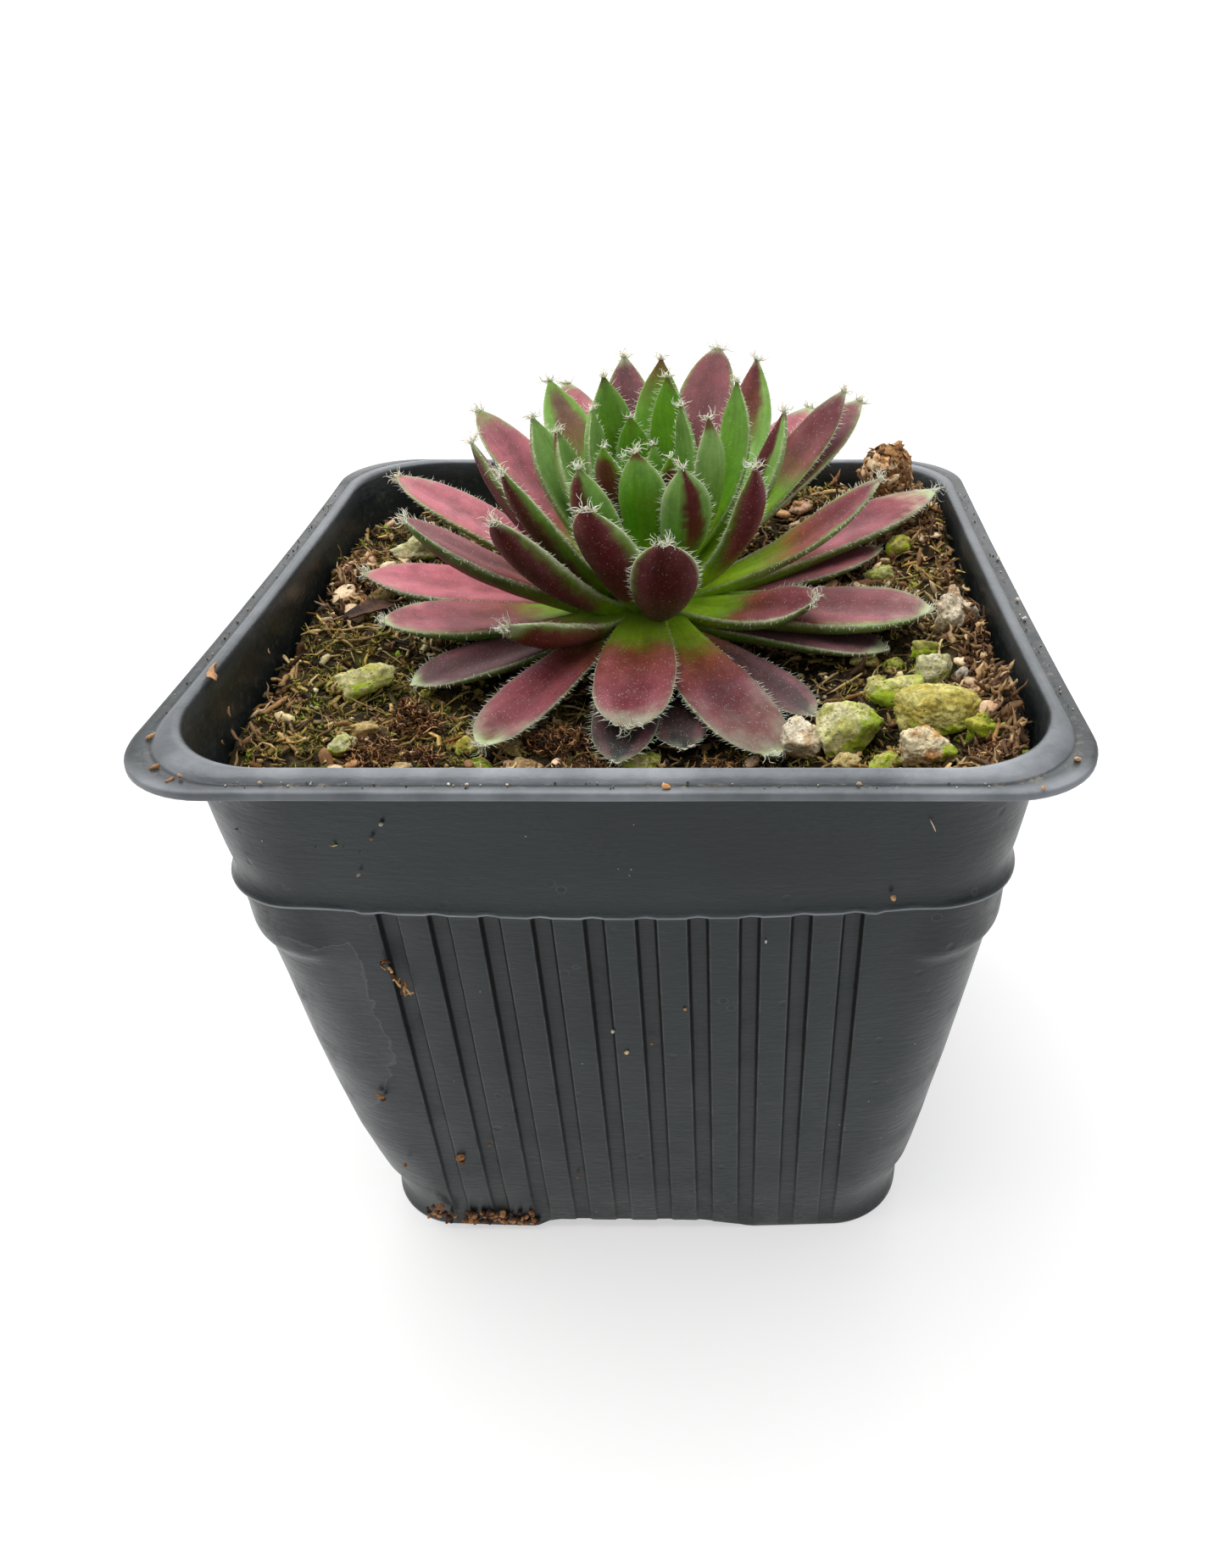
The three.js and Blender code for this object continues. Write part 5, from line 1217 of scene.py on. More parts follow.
def hairs():
    """Fine white hairs: a fringe on every margin, curly tufts at the tips and down on the skin."""
    groups = {"inner": Heap(), "outer": Heap()}
    white, cream = lin("F8F7EE"), lin("E2DFCA")
    rows = [(f"bud_{k + 1}", leaf, k + 1) for k, leaf in enumerate(BUD)]
    rows += [(name, leaf, k + 10) for k, (name, *leaf) in enumerate(LEAVES)]
    for name, leaf, seed in rows:
        rng = np.random.default_rng(9000 + seed)
        look = LOOK[name]
        small = name.startswith("bud")
        kind = "bud" if small else name.split("_")[1]
        heap = groups["inner" if kind in ("bud", "inner", "middle") else "outer"]
        length = leaf[3]
        # margin fringe
        step = {"bud": 0.42, "inner": 0.34, "middle": 0.32, "outer": 0.34, "spread": 0.34, "back": 0.5, "lower": 0.42}[kind]
        n = int(length * 0.80 / step)
        for sgn in (1, -1):
            t = 0.20 + 0.79 * (np.arange(n) + rng.random(n)) / n
            ang = (0.0 if sgn > 0 else PI) + rng.normal(0, 0.16, n)
            p = leaf_points(leaf, look, t, ang, seed)
            _, tan, nrm, s = leaf_frame(leaf, t)
            out = unit(s * sgn + nrm * rng.normal(0.10, 0.30, (n, 1)) + tan * rng.normal(0.25, 0.28, (n, 1)))
            L = (0.30 + 0.42 * smooth(0.25, 0.75, t) + 0.22 * smooth(0.8, 1.0, t)) * rng.uniform(0.6, 1.3, n)
            if small:
                L = L * 0.7
            sway = unit(rng.normal(size=(n, 3))) * (L * 0.16)[:, None]
            f = np.array([-0.05, 0.05, 0.55, 1.0])
            path = p[:, None, :] + out[:, None, :] * (L[:, None] * f)[..., None] + sway[:, None, :] * (f ** 2)[None, :, None]
            rad = 0.034 * rng.uniform(0.8, 1.25, (n, 1)) * np.array([[0, 1.0, 0.66, 0]])
            v, tr, qd, per = tubes(path, rad, 3, rng)
            heap.add(v, tr, qd, np.repeat(mix(white, cream, rng.random(n) * 0.6), per, 0))
        # tuft at the tip
        m = {"bud": 12, "inner": 20, "middle": 26, "outer": 24, "spread": 20, "back": 16, "lower": 8}[kind]
        _, tan, nrm, s = leaf_frame(leaf, np.array([1.0]))
        tip = leaf_points(leaf, look, np.full(m, 0.985), rng.uniform(0, 2 * PI, m), seed)
        out = unit(tan * 0.7 + s * rng.normal(0, 0.85, (m, 1)) + nrm * rng.normal(0.20, 0.70, (m, 1)))
        L = rng.uniform(0.7, 2.1, m) * {"bud": 0.6, "inner": 0.8}.get(kind, 1.0)
        if kind in ("lower",):
            L = L * 0.6
        k = 8
        f = np.linspace(-0.05, 1, k)
        u1 = unit(np.cross(out, rng.normal(size=(m, 3))))
        u2 = np.cross(out, u1)
        phase, speed = rng.uniform(0, 6, (m, 1)), rng.uniform(3.0, 8.0, (m, 1))
        curl = rng.uniform(0.10, 0.36, (m, 1)) * L[:, None]
        fr = np.clip(f, 0, 1)[None]
        path = (tip[:, None] + out[:, None] * (L[:, None] * f)[..., None]
                + u1[:, None] * (curl * fr * np.sin(speed * fr + phase))[..., None]
                + u2[:, None] * (curl * fr * np.cos(speed * fr + phase))[..., None])
        rad = 0.054 * np.array([[0, 1, .95, .9, .8, .65, .45, 0]]) * rng.uniform(0.8, 1.25, (m, 1))
        v, tr, qd, per = tubes(path, rad, 3, rng)
        heap.add(v, tr, qd, np.repeat(mix(white, cream, rng.random(m)), per, 0))
        # short down
        m = {"bud": 40, "inner": 110, "middle": 150, "outer": 150, "spread": 150, "back": 60, "lower": 90}[kind]
        t = rng.uniform(0.25, 0.99, m)
        ang = rng.uniform(0, 2 * PI, m)
        p = leaf_points(leaf, look, t, ang, seed)
        _, tan, nrm, s = leaf_frame(leaf, t)
        out = unit(s * np.cos(ang)[:, None] + nrm * (np.sin(ang) * 1.3)[:, None] + tan * 0.35 + rng.normal(0, 0.22, (m, 3)))
        L = rng.uniform(0.10, 0.26, m)
        path = p[:, None] + out[:, None] * (L[:, None] * np.array([-0.15, 0.12, 1.0]))[..., None]
        rad = np.full((m, 3), 0.018) * np.array([[0, 1, 0]])
        v, tr, qd, per = tubes(path, rad, 3, rng)
        heap.add(v, tr, qd, np.repeat(mix(white, cream, rng.random(m)), per, 0))
    groups["inner"].piece("leaf_hairs_inner", HAIR, "leaf_inner")
    groups["outer"].piece("leaf_hairs_outer", HAIR, "leaf_outer")


# ---------------------------------------------------------------------------
# grit and litter
# ---------------------------------------------------------------------------
def stone_shape(seed, size, planes=15, power=14, rough=0.07, pits=0.05, detail=4, lobes=None):
    rng = np.random.default_rng(seed)
    v, f = BALLS[detail]
    nrm = unit(rng.normal(size=(planes, 3)))
    dist = rng.uniform(0.74, 1.0, planes)
    q = (np.maximum(v @ nrm.T, 0) / dist) ** power
    r = np.clip(q.sum(1), 1e-6, None) ** (-1 / power)
    p = v * np.clip(r, 0, 1.35)[:, None]
    if lobes is not None:
        p = p * (1 + lobes * fbm(v * 1.3 + seed, 2, seed))[:, None]
    p = p * (1 + 1.25 * rough * fbm(v * 3.1 + seed, 4, seed + 1) + 0.75 * rough * fbm(v * 9.0, 3, seed + 2))[:, None]
    dent = smooth(0.15, 0.55, fbm(v * 5.5 + 2, 2, seed + 3))
    p = p * (1 - pits * dent)[:, None]
    lo, hi = p.min(0), p.max(0)
    p = (p - (lo + hi) / 2) / (hi - lo) * np.array(size)
    return p, f, v


def stone(name, centre, size, turn, seed, body, second, algae, tilt=0.0, nodes=(), side=None, **shape):
    p, f, v = stone_shape(seed, size, **shape)
    a = math.radians(turn)
    b = math.radians(tilt)
    rx = np.array([[1, 0, 0], [0, math.cos(b), -math.sin(b)], [0, math.sin(b), math.cos(b)]])
    rz = np.array([[math.cos(a), -math.sin(a), 0], [math.sin(a), math.cos(a), 0], [0, 0, 1]])
    p = p @ rx.T @ rz.T + np.array(centre)
    w = fbm(v * 1.8 + seed, 3, seed + 7)
    col = mix(lin(body), lin(second), smooth(-0.15, 0.35, w))
    n = fbm(v * 2.6, 3, seed + 11)
    dirn = np.array(side if side is not None else (0.0, 0.0, -0.6))
    green = np.clip(algae + 0.5 * n + 0.6 * (unit(v) @ dirn), 0, 1)
    crack = smooth(0.10, 0.0, np.abs(fbm(v * 3.4 + 7, 3, seed + 13))) + 0.8 * smooth(0.22, 0.45, fbm(v * 7.0, 2, seed + 17))
    col = col * (1 - 0.34 * np.clip(crack, 0, 1))[:, None]
    # soil sticks to the foot of the stone
    low = p[:, 2] - (p[:, 2].min() + 0.22 * (p[:, 2].max() - p[:, 2].min()))
    col = mix(col, lin("3A2C1C"), smooth(0.5, -0.6, low) * 0.75)
    return piece(name, p, [f], col, STONE, nodes, {"algae": green})


def ground_at(x, y):
    return float(ground(np.array([float(x)]), np.array([float(y)]))[0])


def grit():
    stone("stone_cream_skin", (37.4, -4.6, 73.9), (5.2, 5.0, 6.2), 20, 201, "EADCC2", "CBAA86", -0.2, nodes=["stone_cream"],
          lobes=0.40, rough=0.12, side=(0, 0, -0.5))
    stone("stone_large_yellow_skin", (32.4, -24.6, 72.6), (9.0, 6.7, 5.4), 8, 202, "D2C878", "BAAA52", 0.02,
          nodes=["stone_large_yellow"], planes=22, power=9, rough=0.08, pits=0.05, side=(0.15, -0.35, -0.75))
    stone("stone_green_skin", (23.2, -22.4, 69.2), (8.2, 7.0, 6.2), 30, 203, "DCD6A4", "C2C070", 0.42, nodes=["stone_green"],
          planes=16, power=12, rough=0.09, pits=0.08, side=(0.75, -0.15, -0.45))
    stone("stone_white_skin", (18.8, -23.4, 68.0), (5.2, 4.8, 5.0), -25, 204, "F0E4CA", "D0B48C", -0.3, nodes=["stone_white"],
          planes=9, power=16, rough=0.11, side=(0, 0, -0.3))
    stone("stone_orange_skin", (30.0, -31.6, 72.3), (5.8, 4.8, 5.0), 15, 205, "E8D8B0", "CC9660", 0.16, nodes=["stone_orange"],
          planes=11, power=13, rough=0.12, side=(0.9, 0, -0.6))
    # smaller grit that only the looks carry: name, x, y, z, size, turn, body, second, algae
    small = [
        ("grit_01", 34.3, -7.9, 71.6, (5.2, 2.8, 2.6), 12, "C2BC6C", "9EA044", 0.50),
        ("grit_02", 33.5, -14.2, 71.9, (5.2, 4.4, 4.6), 20, "E0DCB4", "CFCB90", 0.34),
        ("grit_03", 28.1, -10.9, 67.9, (3.6, 2.8, 2.6), 40, "CFC67C", "AAA858", 0.28),
        ("grit_04", 29.0, -17.0, 70.2, (6.2, 4.6, 4.0), -10, "D4CE8A", "B8B452", 0.60),
        ("grit_05", 30.6, -6.1, 67.9, (2.8, 2.2, 2.2), 10, "BEBC5E", "A0A844", 0.5),
        ("grit_06", 27.1, -5.3, 68.4, (3.6, 2.4, 2.1), -8, "CEC27E", "B4AA60", 0.2),
        ("grit_07", 33.6, 18.3, 72.4, (3.6, 3.2, 4.2), 30, "C6C456", "D0C474", 0.5),
        ("grit_08", 30.9, 15.3, 70.2, (4.4, 3.2, 2.8), 0, "CCCC88", "AEB45C", 0.4),
        ("grit_09", 36.0, -28.1, 72.6, (4.0, 3.2, 3.4), 25, "C2BC50", "87981E", 0.62),
        ("grit_10", 23.0, -27.0, 67.7, (3.2, 2.6, 2.4), -15, "DCC88C", "BCA468", 0.0),
        ("grit_11", 26.4, -31.6, 70.4, (3.8, 2.6, 2.2), 10, "C4C264", "A2A848", 0.5),
        ("grit_12", 1.2, -23.0, 65.9, (5.4, 3.4, 2.4), 14, "A9B24C", "C7B98C", 0.5),
        ("grit_13", -31.2, -10.2, 68.6, (7.6, 5.2, 4.0), 30, "DCD69A", "C2BE62", 0.50),
        ("grit_14", -29.9, -24.3, 68.1, (3.8, 3.0, 2.8), 60, "D6D2A4", "BEC070", 0.42),
        ("grit_15", -28.8, -20.1, 67.5, (4.0, 2.6, 2.2), 25, "C8AF78", "B4955C", 0.05),
        ("grit_16", -23.1, -27.4, 67.2, (3.0, 2.2, 1.8), 0, "CBB488", "B79A68", 0.05),
        ("grit_17", -11.0, -23.8, 65.3, (4.4, 2.6, 1.9), 5, "CBAE80", "B08E60", 0.0),
        ("grit_18", -17.7, -20.2, 65.9, (2.8, 2.2, 2.0), -20, "C2B448", "A09A38", 0.35),
        ("grit_19", -32.4, 23.4, 70.7, (7.4, 4.6, 3.8), 10, "DCD6A4", "C6C084", 0.1),
        ("grit_20", -33.5, 9.9, 69.9, (4.6, 3.0, 2.4), 35, "C9B27C", "B79C62", 0.05),
        ("grit_21", -16.2, -17.0, 65.9, (2.6, 2.2, 1.8), 10, "9BAA30", "86982A", 0.8),
        ("grit_22", -15.8, -23.2, 65.2, (3.0, 2.2, 1.6), 10, "93A42C", "7F9326", 0.8),
        ("grit_23", -12.4, -20.5, 65.4, (3.0, 2.4, 1.8), -30, "B7A169", "A58F58", 0.15),
        ("grit_24", 30.5, 8.0, 69.6, (3.6, 3.0, 2.2), 50, "C9B28C", "B39A70", 0.05),
        ("grit_25", 20.5, 25.6, 70.0, (5.2, 4.0, 2.6), 20, "CDBB98", "BFA57E", 0.05),
        ("grit_26", 34.6, 24.5, 73.2, (3.0, 2.6, 2.4), 20, "C2A87C", "AA8A5C", 0.1),
        ("grit_27", -8.0, 33.0, 69.4, (4.4, 3.6, 2.6), 60, "BDB88A", "A7A468", 0.3),
        ("grit_28", -26.0, 33.5, 69.8, (3.6, 3.0, 2.4), -40, "C7B48C", "AE966A", 0.1),
        ("grit_29", 12.0, 35.0, 70.8, (3.8, 3.0, 2.4), 15, "B9B684", "9FA45C", 0.35),
        ("grit_30", 36.6, -15.6, 73.4, (2.0, 1.8, 1.8), 0, "B8B2A0", "9A9484", 0.0),
        ("grit_31", 39.0, -21.5, 73.9, (2.2, 1.6, 1.8), 0, "C8C2B8", "B4ACA0", 0.0),
    ]
    for k, (name, x, y, z, size, turn, body, second, algae) in enumerate(small):
        g = ground_at(x, y)
        z = min(max(z, g - 0.15 * size[2]), g + 0.34 * size[2])
        stone(name, (x, y, z), size, turn, 300 + k, body, second, algae, detail=3, planes=12 + k % 6, power=11 + k % 5,
              rough=0.12, pits=0.07, lobes=0.24)


def scatter(n, rng, margin, keep=None):
    """n places on the mix, at least margin inside the wall, thinned by keep(x, y) in 0..1."""
    xs, ys = [], []
    total = 0
    while total < n:
        x, y = rng.uniform(-41, 41, n * 2), rng.uniform(-41, 41, n * 2)
        ok = inside(x, y, 0) > margin
        if keep is not None:
            ok &= rng.random(n * 2) < keep(x, y)
        xs.append(x[ok])
        ys.append(y[ok])
        total += ok.sum()
    x, y = np.concatenate(xs)[:n], np.concatenate(ys)[:n]
    return x + pull_in(x, y), y


def pick(rng, n, codes, weights):
    c = np.array([lin(k) for k in codes])
    w = np.array(weights, float)
    base = c[rng.choice(len(codes), n, p=w / w.sum())]
    return base * rng.uniform(0.72, 1.28, (n, 1))


def litter():
    # short chips and broken fibres that make up the top of the mix
    rng = np.random.default_rng(501)
    heap = Heap()
    n = 5600
    x, y = scatter(n, rng, 0.5, lambda x, y: (0.25 + 0.75 * smooth(5, 16, np.hypot(x - 1, y - 8))) * (1 - 0.45 * patch(x, y, 25, -17, 12, 13)))
    green = mossy(x, y)
    z = ground(x, y) + rng.uniform(-0.10, 0.95, n)
    az = rng.uniform(0, 2 * PI, n)
    tilt = rng.normal(0.10, 0.42, n)
    L = rng.uniform(0.75, 2.8, n) * np.where(rng.random(n) < 0.16, 1.5, 1.0)
    d = np.stack([np.cos(az) * np.cos(tilt), np.sin(az) * np.cos(tilt), np.sin(tilt)], -1)
    side = np.stack([-np.sin(az), np.cos(az), np.zeros(n)], -1)
    f = np.array([-0.5, -0.42, 0.05, 0.44, 0.5])
    bend = rng.normal(0, 0.24, n) * L
    path = (np.stack([x, y, z], -1)[:, None] + d[:, None] * (L[:, None] * f)[..., None]
            + side[:, None] * (bend[:, None] * (f * f * 4 - 0.5))[..., None])
    w = rng.uniform(0.09, 0.42, (n, 1)) * np.array([[0, 0.8, 1.0, 0.7, 0]]) * rng.uniform(0.7, 1.3, (n, 5))
    ref = np.tile(np.array([0.0, 0.0, 1.0]), (n, 1, 1)) + rng.normal(0, 0.35, (n, 1, 3))
    v, tr, qd, per = tubes(path, w, 3, rng, flat=rng.uniform(0.30, 0.8, n), ref=ref)
    browns = pick(rng, n, ["5E4A2C", "8A6F42", "AE905C", "2E2214", "C8AE7C", "6E5636"], [3, 4, 3, 2.8, 1.6, 2.4])
    greens = pick(rng, n, ["7E6C36", "9A8644", "BC9C5C", "4E4A20", "D0B478", "94743A", "7A842C", "6E4E26"], [3, 3.2, 2.6, 2.6, 1.6, 3, 1.6, 2.2])
    c = np.where((rng.random(n) < green * 0.80)[:, None], greens, browns)
    c = c * np.where(rng.random(n) < 0.22, 0.42, 1.12)[:, None]
    c = c * (1 - 0.55 * patch(x, y, 26, -16, 12, 13) - 0.25 * patch(x, y, 6, -22, 14, 6) + 0.25 * patch(x, y, 30, 26, 12, 12))[:, None]
    heap.add(v, tr, qd, np.repeat(c, per, 0))
    heap.piece("litter_chips", LITTER, "potting_mix")

    # longer fibres
    rng = np.random.default_rng(502)
    heap = Heap()
    n, m = 820, 7
    x, y = scatter(n, rng, 3.0)
    az = rng.uniform(0, 2 * PI, n)
    L = rng.uniform(2.5, 8.5, n)
    turn = rng.normal(0, 0.9, n)
    f = np.linspace(-0.5, 0.5, m)
    ang = az[:, None] + turn[:, None] * f + rng.normal(0, 0.14, (n, m)).cumsum(1) * 0.5
    step = L[:, None] / (m - 1)
    px = x[:, None] + np.cumsum(np.cos(ang) * step, 1) - (np.cos(ang) * step).sum(1, keepdims=True) / 2
    py = y[:, None] + np.cumsum(np.sin(ang) * step, 1) - (np.sin(ang) * step).sum(1, keepdims=True) / 2
    keep = inside(px, py, 0).min(1) > 0.45
    px, py = px[keep], py[keep]
    n = len(px)
    arch = rng.uniform(0.05, 0.9, n)[:, None] * (1 - (2 * f) ** 2) + 0.12
    pz = ground(px, py) * 0.5 + 0.5 * ground(px, py).mean(1, keepdims=True) + arch
    pz = np.maximum(pz, ground(px, py) + 0.02)
    path = np.stack([px, py, pz], -1)
    w = rng.uniform(0.06, 0.20, (n, 1)) * np.sin(np.linspace(0.12, PI - 0.12, m))[None] ** 0.4
    v, tr, qd, per = tubes(path, w, 4, rng, flat=rng.uniform(0.4, 1.0, n))
    c = pick(rng, n, ["46341E", "7E663E", "AC9260", "C8B282", "241A10", "8A7E44", "6A4E2E"], [3, 4, 3, 2, 2.4, 3, 3])
    heap.add(v, tr, qd, np.repeat(c, per, 0))
    # the long twig on the right, and straw by the walls
    for pts, r, code in (
        ([(20.7, -12.4), (24.0, -13.3), (27.6, -12.9), (31.5, -12.5)], 0.36, "8A6238"),
        ([(24.8, 14.2), (28.0, 13.6), (31.6, 13.9)], 0.55, "7A5638"),
        ([(23.0, 36.6), (26.8, 37.4), (30.0, 36.8)], 0.34, "C0A070"),
        ([(-32.5, -30.5), (-30.0, -33.5), (-28.6, -35.6)], 0.26, "A98C50"),
        ([(-30.0, -21.5), (-27.4, -24.2), (-25.2, -26.9)], 0.24, "B29A5A"),
        ([(-22.0, -22.4), (-18.8, -18.9), (-16.6, -17.9)], 0.22, "8A5C30"),
        ([(37.8, 26.6), (39.2, 29.8), (39.2, 33.0)], 0.32, "B99468"),
        ([(36.2, -32.8), (37.6, -28.6), (38.9, -25.4)], 0.26, "9A7048"),
        ([(18.4, -14.4), (21.4, -10.6), (24.6, -8.8)], 0.20, "3A2A1C"),
        ([(-34.0, -3.0), (-31.5, 1.0), (-30.5, 4.5)], 0.24, "A68C54"),
        ([(-38.2, 5.6), (-36.4, 6.4), (-34.8, 6.2)], 0.75, "C49A6C"),
        ([(-37.4, 3.4), (-35.6, 4.2), (-33.8, 3.9)], 0.50, "B08A58"),
        ([(-33.4, 8.6), (-31.0, 9.2), (-29.2, 8.4)], 0.62, "BFA470"),
        ([(-39.4, -14.2), (-38.6, -11.4), (-38.8, -8.8)], 0.40, "B98F62"),
        ([(-39.0, -20.6), (-37.9, -18.6), (-37.6, -16.2)], 0.34, "A67E50"),
    ):
        q = np.array(pts, float)
        s = np.linspace(0, 1, 14)
        k = np.linspace(0, 1, len(q))
        px, py = np.interp(s, k, q[:, 0]), np.interp(s, k, q[:, 1])
        px = px + 0.10 * np.sin(s * 21 + q[0, 0])
        py = py + 0.10 * np.cos(s * 17 + q[0, 1])
        gz = ground(px, py)
        pz = np.maximum(gz + r * 0.5, np.linspace(gz[0], gz[-1], 14) + r + 0.35 * np.sin(PI * s))
        w = r * np.sin(np.linspace(0.35, PI - 0.30, 14)) ** 0.35 * (1 + 0.16 * np.sin(s * 31 + q[0, 0]))
        v, tr, qd, per = tubes(np.stack([px, py, pz], -1)[None], w[None], 7, rng, flat=[0.7])
        tone = 1 + 0.25 * fbm(v * 1.5, 2, 5)
        heap.add(v, tr, qd, lin(code)[None] * tone[:, None])
    heap.piece("litter_fibres", LITTER, "potting_mix")

    # crumbs of peat, bark and dust-fine grit
    rng = np.random.default_rng(503)
    heap = Heap()
    n = 2100
    x, y = scatter(n, rng, 0.6)
    z = ground(x, y) + rng.uniform(-0.1, 0.35, n)
    size = np.exp(rng.normal(-1.15, 0.45, n))
    scale = size[:, None] * rng.uniform(0.55, 1.25, (n, 3))
    R = turns(n, rng)
    browns = pick(rng, n, ["2A1F14", "54402A", "7C6240", "A4885A", "1A130C"], [3, 4, 3, 2, 2.5])
    lights = pick(rng, n, ["C9BC74", "D6C694", "AEB048", "DCD0AE", "9CB438"], [3, 2, 3, 1, 3])
    c = np.where((rng.random(n) < 0.18 + 0.25 * mossy(x, y))[:, None], lights, browns)
    for level, sel in ((0, size < 0.44), (1, size >= 0.44)):
        bv, bf = BALLS[level]
        k = int(sel.sum())
        jit = 1 + 0.22 * rng.normal(size=(k, len(bv), 1)).clip(-1.6, 1.6)
        v = np.einsum("nij,nkj->nki", R[sel], bv[None] * jit * scale[sel][:, None]) + np.stack([x, y, z], -1)[sel][:, None]
        t = (bf[None] + (np.arange(k) * len(bv))[:, None, None]).reshape(-1, 3)
        heap.add(v.reshape(-1, 3), t, None, np.repeat(c[sel], len(bv), 0))
    heap.piece("litter_crumbs", LITTER, "grit")

    # ragged bark flakes, thick along the right wall
    rng = np.random.default_rng(504)
    heap = Heap()
    n, m = 1500, 6
    piles = [(38.8, -24, 2.6, 15, 1.0), (38.9, -4, 1.8, 12, .8), (34, 30, 8, 9, 1.0), (26, 14, 8, 9, .55), (-38.9, -22, 1.4, 13, .35),
             (-37.5, 12, 3.0, 9, .55), (-36.5, 4.5, 2.4, 2.4, 1.0), (32, -36, 7, 3, .6)]

    def heaped(x, y):
        return np.clip(sum(k * patch(x, y, cx, cy, rx, ry) for cx, cy, rx, ry, k in piles), 0, 1)
    x1, y1 = scatter(1050, rng, 0.9, heaped)
    x2, y2 = scatter(n - 1050, rng, 1.2, lambda x, y: 0.15 + 0.75 * smooth(24, 34, x))
    x, y = np.concatenate([x1, x2]), np.concatenate([y1, y2])
    az = rng.uniform(0, 2 * PI, n)
    tilt = rng.normal(0.30, 0.55, n)
    L = rng.uniform(1.1, 3.6, n)
    by_wall = np.exp(-((np.maximum(np.abs(x), np.abs(y)) - 40.0) / 2.6) ** 2) * heaped(x, y)
    lift = rng.random(n) ** 0.7 * by_wall * 2.4
    f = np.linspace(-0.5, 0.5, m)
    d = np.stack([np.cos(az) * np.cos(tilt), np.sin(az) * np.cos(tilt), np.sin(tilt)], -1)
    up = np.array([0, 0, 1.0])
    path = (np.stack([x, y, ground(x, y) + 0.25 + lift + 0.3 * L * np.abs(np.sin(tilt))], -1)[:, None]
            + d[:, None] * (L[:, None] * f)[..., None]
            + up * (rng.normal(0, 0.45, (n, 1)) * (f * f * 4))[..., None]
            + rng.normal(0, 0.10, (n, m, 3)))
    ok = inside(path[..., 0], path[..., 1], 0).min(1) > 0.35
    path, n, bright = path[ok], int(ok.sum()), (1 + 0.45 * smooth(4, 18, y))[ok]
    w = rng.uniform(0.16, 0.48, (n, 1)) * np.array([[0, 0.8, 1, 0.9, 0.7, 0]]) * rng.uniform(0.6, 1.4, (n, m))
    v, tr, qd, per = tubes(path, w, 4, rng, flat=rng.uniform(0.25, 0.55, n))
    v = v + 0.06 * np.stack([vnoise(v * 3.1, 1), vnoise(v * 3.1, 2), vnoise(v * 3.1, 3)], -1)
    c = pick(rng, n, ["745438", "947450", "B4946A", "46321E", "CBB08A", "664A30"], [4, 4, 2.6, 3, 1.4, 3]) * bright[:, None]
    heap.add(v, tr, qd, np.repeat(c, per, 0))
    heap.piece("bark_flakes", LITTER, "potting_mix")

    # pale chunks of bark, mostly at the back right
    rng = np.random.default_rng(514)
    heap = Heap()
    spots = [(30, 27, 9, 9, 1.0, 60), (14, 31, 10, 5, 1.0, 26), (24, 14, 8, 7, .8, 26), (-37.0, 7.0, 2.6, 6, 1.0, 9), (38.2, -24, 1.8, 12, .8, 16),
             (-24, -25, 9, 7, .7, 12), (2, -25, 16, 2.4, .6, 9), (-34, 22, 4, 9, .9, 10), (37.6, 37.4, 2.0, 2.0, .9, 6)]
    for cx, cy, rx, ry, big, count in spots:
        for _ in range(count):
            x, y = cx + rx * rng.uniform(-1, 1), cy + ry * rng.uniform(-1, 1)
            if float(inside(np.array([x]), np.array([y]), 0)[0]) < 1.8:
                continue
            size = rng.uniform(1.3, 3.3) * big * np.array([1.0, rng.uniform(0.45, 0.8), rng.uniform(0.22, 0.45)])
            bv, bf = BALLS[2 if size[0] > 2.3 else 1]
            v = bv * (1 + 0.42 * fbm(bv * 1.5 + rng.random() * 90, 3, 17))[:, None]
            v = np.sign(v) * np.abs(v) ** 0.8 * size / 2 * 1.25
            a, b = rng.uniform(0, 2 * PI), rng.normal(0.0, 0.5)
            rb = np.array([[math.cos(b), 0, math.sin(b)], [0, 1, 0], [-math.sin(b), 0, math.cos(b)]])
            ra = np.array([[math.cos(a), -math.sin(a), 0], [math.sin(a), math.cos(a), 0], [0, 0, 1]])
            v = v @ rb.T @ ra.T + np.array([x, y, ground_at(x, y) + 0.45 + 0.25 * size[0] * abs(math.sin(b))])
            code = ["C89C70", "DCBC98", "A87C54", "E4C8A4", "8C6442", "D0A888"][rng.integers(6)]
            tone = (1 + 0.35 * fbm(v * 1.3, 3, 23)) * rng.uniform(0.8, 1.15)
            heap.add(v, bf, None, lin(code)[None] * tone[:, None])
    heap.piece("bark_chunks", LITTER, "potting_mix")

